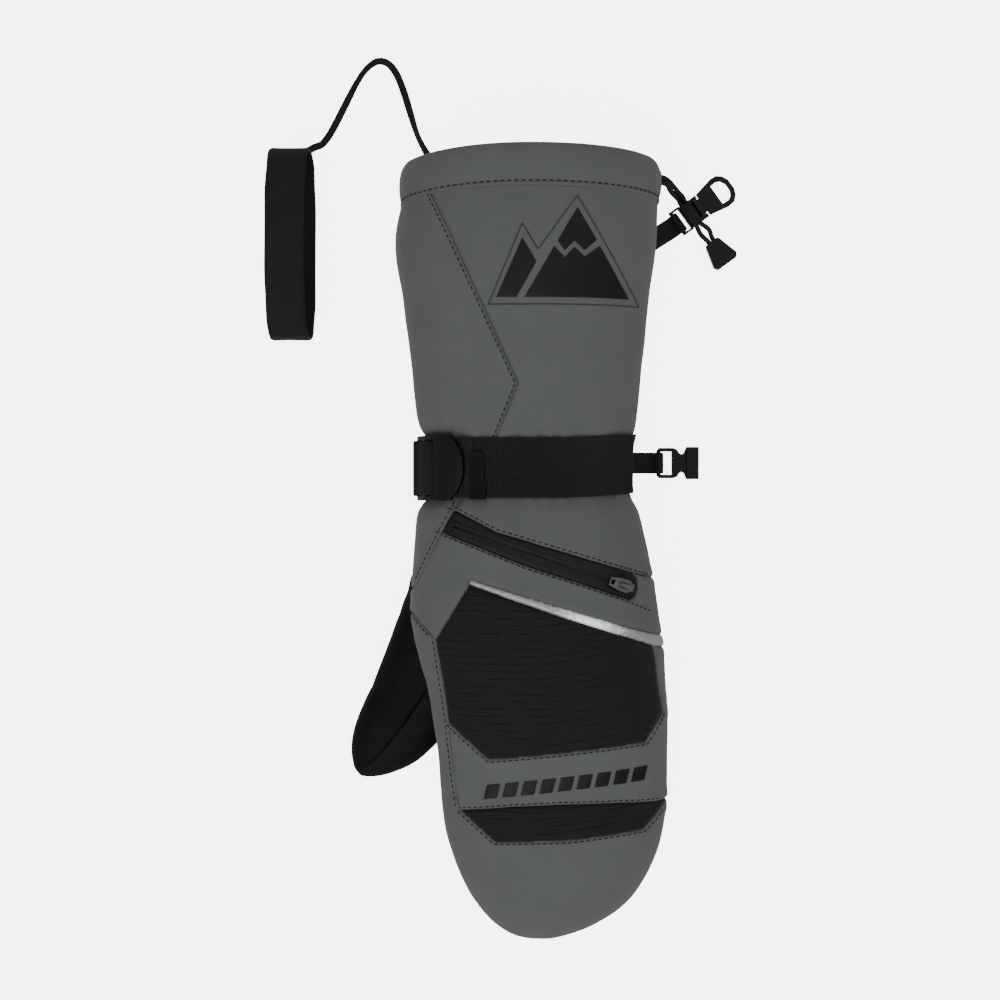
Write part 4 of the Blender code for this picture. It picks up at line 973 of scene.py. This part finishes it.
def lining():
    """The fleece lining, turned over the inner edge of the hem."""
    into_tip = np.sin(np.radians(np.linspace(0, 84, 22)))
    stations = [(164.5, 7.3), (163.0, 7.6), (161.0, 8.2), (157.0, 8.7)]
    stations += [(y, 8.8) for y in (*np.arange(153.0, TIP_START, -3.4),
                                    *(TIP_START - TIP_LENGTH * into_tip))]
    angles = even_angles(100.0, 110)
    rows = []
    for number, (y, depth) in enumerate(stations):
        points = hem_skin(y, angles, depth)
        uneven = 0.35 * min(1.0, number / 3) * ripple(points, 30.0, 11)
        rows.append(points + uneven[:, None] * np.array((0.7, 0, 0.7)))
    sheet("lining_fleece", "lining", rows, True, FLEECE, 1.0)


hem()
lining()

# ---- wrist strap and buckle ----
BELT = (20.0, 48.0)
BELT_GAP, WEBBING_THICK = 0.6, 1.4
TAIL_GAP = BELT_GAP + WEBBING_THICK + 0.3
RIB_PITCH = 1.4
BUCKLE_HALF, BUCKLE_THICK = 15.3, 2.4
BUCKLE_BAR_X = -59.0
BUCKLE_POINTS = ((-59.0, 5.9), (-50.0, 6.0), (-36.0, 6.8))  # x, height above the wrist
BUCKLE_ARC = circle_through(*((x, top_of(x, WRIST, rise)) for x, rise in BUCKLE_POINTS))
BUCKLE_SLOTS, SLOT_HALF = ((1.2, 8.8), (12.4, 18.6)), 13.3


def on_buckle(along, y, rise):
    """A point laid out along the buckle from its left bar, across it and above its middle."""
    x0, z0, radius = BUCKLE_ARC
    angle = math.acos((BUCKLE_BAR_X - x0) / radius) - along / radius
    return Vector((x0 + (radius + rise) * math.cos(angle), WRIST + y,
                   z0 + (radius + rise) * math.sin(angle)))


def wrist_web(name, node, start, end, inner, outer):
    """Ribbed webbing round the wrist between two angles in degrees, as a closed strip."""
    y0, y1 = BELT
    fine = np.radians(np.linspace(start, end, 2000))
    points = skin(WRIST, fine)
    along = distances(points)
    places = np.linspace(0, along[-1], max(8, round(along[-1] / 0.35)))
    # The belt rides up toward the outer side
    climb = 4.2 * np.clip((points[:, 0] - 4.0) / 53.0, 0, 1) ** 1.7
    ys = [y0, y0 + 0.25, *np.linspace(y0 + 0.9, y1 - 0.9, 9), y1 - 0.25, y1]
    edges = [0.45, 0.12, *[0.0] * 9, 0.12, 0.45]
    low_ys = (y1, (y0 + y1) / 2, y0)
    rows = []
    for place in places:
        angle, rise = (float(np.interp(place, along, table)) for table in (fine, climb))
        tuck = 0.5 * max(0.0, 1 - min(place, along[-1] - place) / 0.8)
        ridge = 0.24 * math.sin(TURN * place / RIB_PITCH) - 0.05 * math.sin(place / 9.0)
        rows.append([skin(y + rise, angle, edge + tuck - outer - ridge * (1 - edge))
                     for y, edge in zip(ys, edges)]
                    + [skin(y + rise, angle, -inner - drop)
                       for y, drop in zip(low_ys, (0.3, 0.0, 0.3))])
    bm = bmesh.new()
    woven(bm, rows, places)
    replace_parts(new_object(name, bm, WEBBING, smooth=50), node)


def side_web(name, node, route, width, thick, place, body="mitten", spans=8, step=0.35,
             pitch=RIB_PITCH, wave=0.14, selvedge=(0.5, 7), flat=True, smooth=50):
    """Ribbed webbing along a smooth route seen from its side, put in place by a function.

    thick holds places along it as a share, and the thickness above and below the route there.
    """
    line, places = polyline(smooth_line(route, spans), step)
    normals = np.stack([-np.gradient(line[:, 1]), np.gradient(line[:, 0])], -1)
    normals /= np.linalg.norm(normals, axis=1)[:, None]
    half, (inset, count) = width / 2, selvedge
    ys = [-half, *np.linspace(inset - half, half - inset, count), half]
    shares, above, below = zip(*thick)
    rows = []
    for here, out, at in zip(line, normals, places):
        up, down = (np.interp(at / places[-1], shares, table) for table in (above, below))
        up += wave * math.sin(TURN * at / pitch)
        tops = [(y, 0.0 if abs(y) == half else up) for y in ys]
        lows = [(y, -down if flat or y == 0 else 0.0) for y in (half - 0.1, 0.0, 0.1 - half)]
        rows.append([place(*(here + out * rise), y) for y, rise in tops + lows])
    bm = bmesh.new()
    woven(bm, rows, places)
    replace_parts(new_object(name, bm, WEBBING, body, smooth), node)


def round_bar(bar, radius, degrees):
    """Points round a bar seen from its end."""
    return [Vector(bar) + radius * Vector((math.cos(a), math.sin(a))) for a in np.radians(degrees)]


def strap():
    """The wrist strap and its folded end."""
    wrist_web("wrist_webbing", "wrist_strap", 130, -160, BELT_GAP, BELT_GAP + WEBBING_THICK)
    wrist_web("strap_tail_webbing", "strap_tail", 128.5, 117.6, TAIL_GAP, TAIL_GAP + 1.2)

    def on_belt(x, y):
        return Vector((x, y, top_of(x, y, TAIL_GAP + 0.1)))

    outline = ((-34.6, 19.3), (-27.2, 19.2), (-28.0, 33.0), (-28.9, 41.4), (-34.8, 42.0))
    fold = draped("strap_end_fold", [outline], PALM, 1.3, step=1.2, place=on_belt, edge=0.45)
    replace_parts(fold, "strap_end_tab")
    seam = smooth_line(((-29.6, 20.2), (-29.9, 30.0), (-30.6, 40.6)), 14)
    line = [on_belt(x, y) + Vector((-0.3, 0, 1.25)) for x, y in seam]
    bm = bmesh.new()
    stitch(bm, line, [(-0.5, 0, 1)] * len(line), 1.7, 1.1)
    new_object("strap_end_stitching", bm, THREAD)


def buckle():
    """The ladder buckle: two slots, a middle bar and a broad D-shaped thumb wing."""
    half = BUCKLE_HALF
    wing = [(29.6 + 5.3 * math.cos(a) ** 1.6, SLOT_HALF * math.sin(a))
            for a in np.radians(np.linspace(-78, 78, 27))]
    outline = [(-1.2, 1.2 - half), (-0.2, -half), (28.2, -half), *wing,
               (28.2, half), (-0.2, half), (-1.2, half - 1.2)]
    slots = [((x0, -SLOT_HALF), (x1, -SLOT_HALF), (x1, SLOT_HALF), (x0, SLOT_HALF))
             for x0, x1 in BUCKLE_SLOTS]
    bm = bmesh.new()
    edges = []
    for points in (outline, *slots):
        verts = [bm.verts.new((x, y, 0)) for x, y in points]
        edges += [bm.edges.new(pair) for pair in zip(verts, verts[1:] + verts[:1])]
    bmesh.ops.triangle_fill(bm, edges=edges, use_beauty=True)
    centres = ((f, f.calc_center_median()) for f in bm.faces)
    inside = [f for f, centre in centres if abs(centre.y) < SLOT_HALF
              and any(x0 < centre.x < x1 for x0, x1 in BUCKLE_SLOTS)]
    bmesh.ops.delete(bm, geom=inside, context="FACES_ONLY")
    bmesh.ops.dissolve_limit(bm, angle_limit=0.01, verts=bm.verts, edges=bm.edges)
    for x in np.arange(0.6, 34.5, 1.4):
        cut(bm, (x, 0, 0), (1, 0, 0))
    outward(bm)
    if sum(f.normal.z for f in bm.faces) < 0:
        bmesh.ops.reverse_faces(bm, faces=bm.faces)
    for vert in bm.verts:
        vert.co = on_buckle(vert.co.x, vert.co.y, -BUCKLE_THICK / 2)
    obj = new_object("buckle_moulded", bm, PLASTIC, "buckle")
    solidify(obj, BUCKLE_THICK, 1.0)
    soften(obj, 0.55, 3)
    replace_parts(obj, "buckle_frame")
    route = ((5.65, -1.0), (6.0, 0.2), (7.3, 1.5), (9.1, 2.1), (12.1, 2.1), (14.2, 1.5),
             (16.0, 0.2), (16.55, -1.0))
    side_web("buckle_webbing", "strap_turn", route, 25.6, ((0, 0.55, 0.5),),
             lambda x, z, y: on_buckle(x, y, z), "buckle", spans=6, wave=0.15)


def anchor():
    """Webbing sewn to the side of the wrist, looped round the buckle's left bar."""
    x0, z0, radius = BUCKLE_ARC
    bar = (BUCKLE_BAR_X, z0 + math.sqrt(radius ** 2 - (BUCKLE_BAR_X - x0) ** 2))
    side = skin(WRIST, np.radians((-166, -172, -178, -184)), -(BELT_GAP + 0.7))[:, ::2]
    route = [*side, *round_bar(bar, 2.65, (238, 205, 172, 140, 105, 70, 35, 0, -35, -62))]
    side_web("buckle_anchor_webbing", "buckle_anchor", route, 26.4, ((0, 0.45, 0.42),),
             lambda x, z, y: (x, WRIST + y, z))


strap()
buckle()
anchor()

# ---- zip ----
ZIP_ENDS = (6.0, 45.2, 84.4)  # places along the zip where the slider's arc is fitted
ZIP_ARC = circle_through(*((s, top_of(*(ZIP_START + ZIP_LINE * s)) - 0.3) for s in ZIP_ENDS))


def on_zip(s, across=0.0, rise=0.0):
    """A point on the zip's arc, by its distance along, across and above it."""
    centre, low, radius = ZIP_ARC
    angle = (s - centre) / radius
    place = ZIP_START + ZIP_LINE * (centre + (radius + rise) * math.sin(angle))
    place += Vector((-ZIP_LINE.y, ZIP_LINE.x)) * across
    return Vector((*place, low + (radius + rise) * math.cos(angle)))


def zip_lips():
    """The tape's two coated lips, which hide the coils and meet at a narrow slit."""
    profile = ((0.12, 0.0), (0.14, 0.45), (0.4, 0.75), (1.2, 0.9), (2.0, 0.72), (2.7, 0.1),
               (3.0, -0.9))
    for side, half in ((1, "upper"), (-1, "lower")):
        rows = []
        for s in np.linspace(0.6, 89.2, 110):
            wave = 0.05 * math.sin(s * 1.7 + side) + 0.04 * math.sin(s * 0.61)
            rows.append([on_zip(s, side * (across + wave * (k < 2)), rise)
                         for k, (across, rise) in enumerate(profile)])
        sheet("zip_lip_" + half, "zip_coil_" + half, rows, False, TAPE, 0.35)


zip_lips()
refined("zip_slider", METAL, "slider", 0.0)
refined("zip_puller", METAL, "puller", 0.1)
refined("zip_stop", METAL, "mitten", 0.1)

# ---- thumb ----
THUMB_ORIGIN, THUMB_AXIS = Vector((-57.0, -59.0)), Vector((-0.52, -0.8542))
THUMB_ACROSS = Vector((THUMB_AXIS.y, -THUMB_AXIS.x))
THUMB = (  # n, left m, right m, top, widest level
    (-34, 27.5, -30.0, 37.0, 19.0), (-20, 24.2, -30.0, 37.0, 19.0), (-6, 21.2, -29.5, 36.5, 19.0),
    (8, 18.4, -28.4, 35.5, 18.5), (24, 15.4, -25.6, 34.0, 18.0))
THUMB_START, THUMB_TIP = 24.0, 39.7
THUMB_RIDGE = ((-40, -8.0), (10, -8.0), (35, -6.4), (48, -4.6), (70, 2.0))
THUMB_ROW = ((-8, -8), (10, -8.0), (35, -6.4), (48, -4.6), (57, -2.0))


def thumb_section(n):
    """Middle, half width, top, widest level and closeness to the tip of a section at n."""
    into = min(1.0, max(0.0, (n - THUMB_START) / THUMB_TIP))
    centre, half, top, side = section(n, THUMB)
    return centre + 3.5 * into ** 2, half, top, side, into, math.sqrt(1 - into ** 2)


def thumb_plan(n, m):
    """A place in plan from distances along the thumb and across it."""
    return THUMB_ORIGIN + THUMB_AXIS * n + THUMB_ACROSS * m


def thumb_skin(n, angle):
    """Points on the thumb, by their distance along it and the angle round it."""
    centre, half, top, side, into, close = thumb_section(n)
    across, upward = power(angle)
    m = centre + half * close ** 1.25 * across
    z = side - 1.5 * into + np.where(upward > 0, (top - side) * close ** 0.8,
                                     (side - 1.0) * close ** 0.6) * upward
    x, y = (THUMB_ORIGIN[k] + THUMB_AXIS[k] * n + THUMB_ACROSS[k] * m for k in (0, 1))
    return np.stack([x, y, np.maximum(z, FLAT_LEVEL)], -1)


def on_thumb(n, m):
    """The thumb's upper surface over its own coordinates n and m."""
    centre, half, top, side, into, close = thumb_section(n)
    rise = (top - side) * close ** 0.8 * arch(abs(m - centre) / (half * close ** 1.25))
    return Vector((*thumb_plan(n, m), side - 1.5 * into + rise))


def hand_depth(points):
    """How far points are inside the hand's outline, as a share below 1 inside it."""
    centre, half, top, side = section(points[:, 1])
    above = points[:, 2] > side
    upward = np.abs(points[:, 2] - side) / np.where(above, top - side, side + PALM_SAG)
    n = np.where(above, TOP_POWER, BOTTOM_POWER)
    return (np.abs(points[:, 0] - centre) / half) ** n + upward ** n


def thumb():
    """The thumb's two panels, which the hand's side covers at their root."""
    into_tip = np.sin(np.radians(np.linspace(0, 88, 46)))
    stations = [*np.arange(-34.0, THUMB_START, 1.2), *(THUMB_START + THUMB_TIP * into_tip)]
    angles = np.linspace(0, TURN, 145)[:-1]
    bm = bmesh.new()
    rows = grid(bm, [thumb_skin(n, angles) for n in stations], True)
    tip(bm, rows[-1], thumb_skin(THUMB_START + THUMB_TIP, 0.0))
    ridge = [thumb_plan(n, m) for n, m in THUMB_RIDGE]
    cut_along(bm, ridge, (0.0, 0.9, -0.9), 0.0, 3.0)
    bmesh.ops.remove_doubles(bm, verts=bm.verts, dist=1e-3)
    outward(bm)
    inside = hand_depth(np.array([f.calc_center_median() for f in bm.faces])) < 0.9
    bmesh.ops.delete(bm, geom=[f for f, hid in zip(bm.faces, inside) if hid], context="FACES")
    points, normals = (np.array([getattr(v, k) for v in bm.verts]) for k in ("co", "normal"))
    d, s = from_line(points[:, :2], ridge)
    reach = (points[:, :2] - np.array(THUMB_ORIGIN)) @ np.array(THUMB_AXIS)
    move = 0.25 * np.exp(-((d - 2.2) / 1.5) ** 2) - 0.5 * np.exp(-(d / 0.6) ** 2)
    move *= np.clip((70.0 - reach) / 20.0, 0, 1)
    move += 0.4 * ripple(points, 30.0, 21)
    move += 0.12 * np.sin(s * 1.3) * np.exp(-((d - 2.5) / 2) ** 2)
    root = np.exp(-np.clip(hand_depth(points) - 1.0, 0, None) / 0.25)
    move += root * 0.5 * np.sin(points[:, 1] * 0.55 + 0.8 * np.sin(points[:, 2] * 0.2))
    pushed(bm, points, normals, move, 3.0)
    halves = {True: [], False: []}
    for face in bm.faces:
        here = face.calc_center_median()
        spans = list(zip(ridge, ridge[1:]))
        away = [from_line(np.array([here.xy]), span)[0][0] for span in spans]
        halves[left_of(*spans[np.argmin(away)], here) > 0].append(face)
    for half, key, finish in (("outer", False, PALM_DARK), ("inner", True, PALM)):
        panel = new_object(f"thumb_{half}_leather", panel_mesh(halves[key]), finish, None)
        solidify(panel, 1.1)
        panel.data = bpy.data.meshes.new_from_object(settled(panel))
        panel.modifiers.clear()
        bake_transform(panel)
        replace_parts(panel, f"thumb_{half}_panel")
    bm.free()
    bm = bmesh.new()
    line = [on_thumb(n, m + 1.7) for n, m in polyline(THUMB_ROW, 0.8)[0]]
    stitch(bm, line, [UP] * len(line))
    seam = new_object("thumb_stitching", bm, THREAD, None)
    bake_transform(seam)


thumb()


# ---- palm ----
def palm():
    """The grip patch that the mitten lies on."""
    outline = [(-24, 12), (22, 12), (31, 2), (35, -22), (36, -70), (32, -104), (20, -124),
               (2, -130), (-14, -124), (-22, -106), (-26, -72), (-34, -46), (-33, -12)]
    line = smooth_line(outline + outline[:1], 5)[:-1]
    patch = draped("palm_patch_grip", [line], GRIP, 1.3, step=6.0, edge=0.5,
                   place=lambda x, y: Vector((x, y, 0.0)))
    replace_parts(patch, "palm_patch")


palm()

# ---- side hardware ----
CLIP_BAR = Vector((57.5, 37.2, 3.3))
CLIP_PLACE = Matrix.Translation((CLIP_BAR.x, CLIP_BAR.y, 0))
LOCK_PLACE = Matrix.Translation((73.4, 160.0, 0)) @ Matrix.Rotation(math.radians(36.0), 4, "Z")
END_PLACE = Matrix.Translation((83.6, 146.5, 0)) @ Matrix.Rotation(math.radians(-54.0), 4, "Z")
LOCK_BORE, CORD, CORD_PITCH = 4.2, 2.5, 1.25


def web_tab(name, node, middle, bar, width, place):
    """Doubled webbing along a line of (x, z) points, closed by a loop round a bar."""
    route = [*middle, *round_bar(bar, 1.95, (150, 110, 70, 35, 0, -35, -70, -110, -150))]
    side_web(name, node, route, width, ((0, 1.0, 1.0), (0.45, 0.95, 0.95), (0.6, 0.42, 0.42)),
             lambda x, z, y: place @ Vector((x, y, z)), step=0.3, pitch=1.3, wave=0.12,
             selvedge=(0.4, 6), flat=False, smooth=55)


web_tab("clip_webbing", "clip_tab",
        ((-16.9, 11.0), (-15.6, 9.3), (-11.0, 5.7), (-6.5, 3.75), (-3.4, 3.3)),
        (0.0, CLIP_BAR.z), 10.4, CLIP_PLACE)
web_tab("lock_webbing", "lock_tab",
        ((-28.0, 16.2), (-25.2, 14.5), (-22.9, 12.9), (-18.4, 8.5), (-14.2, 4.7), (-11.0, 3.4)),
        (-7.9, 3.3), 10.0, LOCK_PLACE)
for part, rides_on, edge_width in (("clip_socket", "clip", 0.5), ("lock_frame", "mitten", 0.35),
                                   ("lock_lever", "lever", 0.5), ("cord_end", "cord_pull", 0.6)):
    refined(part, PLASTIC, rides_on, edge_width, 3)
refined("eyelet", METAL, "mitten", 0.25)
refined("lock_pin", METAL, "mitten", 0.15)

# ---- cords ----
ROUND_CORD = [(CORD / 2 * math.cos(a), CORD / 2 * math.sin(a)) for a in np.arange(12) * TURN / 12]
STRAP_HALF = ((1.8, 0.25), (1.6, 0.5), (0.8, 0.6), (0, 0.62), (-0.8, 0.6), (-1.6, 0.5),
              (-1.8, 0.25))
FLAT_STRAP = [*STRAP_HALF, *((-x, -y) for x, y in STRAP_HALF)]


def swept(name, route, profile, material, body="mitten", twist=lambda share: 0.0, step=0.7):
    """A section carried along a route, turned as it goes; also its path and length in metres."""
    line, places = polyline(route, step)
    line = [Vector(p) for p in line]
    rows = []
    side = None
    for before, here, after, place in zip([line[0], *line], line, [*line[1:], line[-1]], places):
        ahead = (after - before).normalized()
        if side is None:
            side = ahead.cross(UP)
        side = (side - ahead * side.dot(ahead)).normalized()
        out = side.cross(ahead)
        turn = Matrix.Rotation(-twist(place / places[-1]), 3, ahead)
        rows.append([here + turn @ (side * p + out * q) for p, q in profile])
    bm = bmesh.new()
    woven(bm, rows, places)
    obj = new_object(name, bm, material, body, smooth=60)
    return obj, [p * MM for p in line], places[-1] * MM


LEASH = ((-49.5, 172.0, 16.2), (-51.5, 178.0, 16.4), (-54.2, 184.0, 15.2), (-57.4, 190.0, 11.2),
         (-60.3, 196.0, 6.6), (-62.7, 202.5, 3.2), (-65.4, 211.5, 1.9), (-68.2, 220.5, 1.9),
         (-71.6, 229.0, 1.9), (-76.0, 234.6, 1.9), (-81.5, 235.6, 1.9), (-86.8, 231.8, 1.9),
         (-91.2, 225.5, 1.9), (-95.6, 217.2, 1.9), (-100.2, 208.0, 2.1), (-104.4, 199.8, 3.2),
         (-108.0, 194.2, 6.0), (-111.6, 191.6, 10.4), (-113.6, 190.0, 12.6), (-115.2, 188.9, 13.8))
LOOP_CENTRE, LOOP_SIZE = (-122.3, 143.0, 19.2), (46.5, 19.0)
LOOP_WIDTH, LOOP_THICK, LOOP_LEAN = 18.8, 1.4, -2.4
LOOP_ACROSS = (-0.5, -0.48, -0.44, -0.3, -0.15, 0.0, 0.15, 0.3, 0.44, 0.48, 0.5)


def leash():
    """The leash's flat strap from inside the cuff to its broad elastic loop."""
    x0, y0, z0 = LOOP_CENTRE
    sides = np.array(LOOP_ACROSS) * LOOP_WIDTH
    tucks = 0.1 * np.cos(sides * 4.2)
    tucks[[0, 1, -2, -1]] = 0.45, 0.15, 0.15, 0.45
    section_of_loop = [*zip(sides, tucks), *zip(sides[::-1], LOOP_THICK - tucks[::-1])]
    rows = []
    for angle in np.linspace(0, TURN, 241) + math.radians(80):
        c, s = power(angle)
        row = []
        for side, depth in section_of_loop:
            z = z0 + (LOOP_SIZE[1] - depth) * s
            lean = LOOP_LEAN * (z / (2 * z0) - 0.5)
            row.append((x0 + lean + side + 0.12 * math.sin(9 * angle + 1),
                        y0 + (LOOP_SIZE[0] - depth) * c, z))
        rows.append(row)
    bm = bmesh.new()
    woven(bm, rows)
    bmesh.ops.remove_doubles(bm, verts=bm.verts, dist=1e-3)
    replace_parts(new_object("leash_loop_elastic", bm, LEASH_CLOTH, smooth=50), "leash_loop")
    cord, path, length = swept("leash_webbing", smooth_line(LEASH, 10), FLAT_STRAP, LEASH_CLOTH,
                               twist=lambda share: 0.9 * math.sin(2.4 * share * math.pi) ** 2)
    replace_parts(cord, "leash_strap")


def in_lock(u, v, z=LOCK_BORE):
    return LOCK_PLACE @ Vector((u, v, z))


def drawcord():
    """One elastic cord round the hem, out through the eyelet as two strands and into the lock."""
    y, z = 171.0, 38.0
    face = skin(y, 0.0, -0.6)[0]
    channel = [Vector(skin(173.0, math.radians(a), 3.1)) for a in range(24, 337, 12)]

    def strand(side):
        edge = CORD_PITCH * side
        route = (skin(172.8, side * math.radians(13), 3.1),
                 (face - 3.7, y + 1.0 + 0.5 * side, z + side * 4.0),
                 (face - 2.2, y + edge, z + side * 0.9), (face + 1.8, y + edge, z),
                 (face + 4.6, y - 0.9 + edge, z - 2.4), (61.6 + 0.6 * side, 168.2 + edge, 30.6),
                 (64.6 + 0.8 * side, 167.0 + 0.9 * side, 22.0),
                 (66.6 + side, 167.4 + 0.7 * side, 12.6), in_lock(edge, 9.2, LOCK_BORE + 2.2),
                 in_lock(edge, 7.0, LOCK_BORE + 0.2), in_lock(edge, 3.6))
        return smooth_line(route, 6)

    for name, side in (("cord_tail_upper", 1), ("cord_tail_lower", -1)):
        edge = CORD_PITCH * side
        route = [in_lock(edge, 3.2), in_lock(edge, -2.0), in_lock(edge, -6.6),
                 in_lock(edge * 1.7 + 0.3, -9.6, 3.7), in_lock(edge * 1.8 + 0.5, -12.0, 3.3)]
        route += [END_PLACE @ Vector(p) for p in ((-1.4, edge * 1.1, 3.1), (1.6, edge, 3.1),
                                                  (8.5, edge, 3.1))]
        tail, _, _ = swept(name + "_cord", smooth_line(route, 6), ROUND_CORD, BRAID, "cord_pull",
                           step=0.5)
        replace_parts(tail, name)
    line = strand(1)[::-1] + channel + strand(-1)
    cord, path, length = swept("drawcord_elastic", line, ROUND_CORD, BRAID, step=0.8)
    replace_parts(cord, "drawcord")


leash()
drawcord()


# ---- layers inside ----
LAYERS_DROP, LAYERS_DROP_START, LAYERS_DROP_LENGTH = 6.0, 148, 12


def layer(node, body, finish, fill=None):
    """A hidden layer as its CAD piece has it; the fill argument is not used."""
    bm = cad_mesh(node)
    for vert in bm.verts:  # the mitten's layers end inside the turned-in hem
        past = (vert.co.y - LAYERS_DROP_START) / LAYERS_DROP_LENGTH
        if body == "mitten" and past > 0:
            vert.co.y -= LAYERS_DROP * min(1.0, past)
    obj = new_object(node + "_layer", bm, finish, body if body == "mitten" else None, smooth=80)
    if body == "thumb":
        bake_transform(obj)
    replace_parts(obj, node)


for hidden in (("insulation", "mitten", WADDING, 0.5), ("membrane", "mitten", FILM),
               ("knuckle_foam", "mitten", WADDING, 0.8), ("pocket_bag", "mitten", FLEECE),
               ("thumb_insulation", "thumb", WADDING, 0.5), ("thumb_lining", "thumb", FLEECE)):
    layer(*hidden)
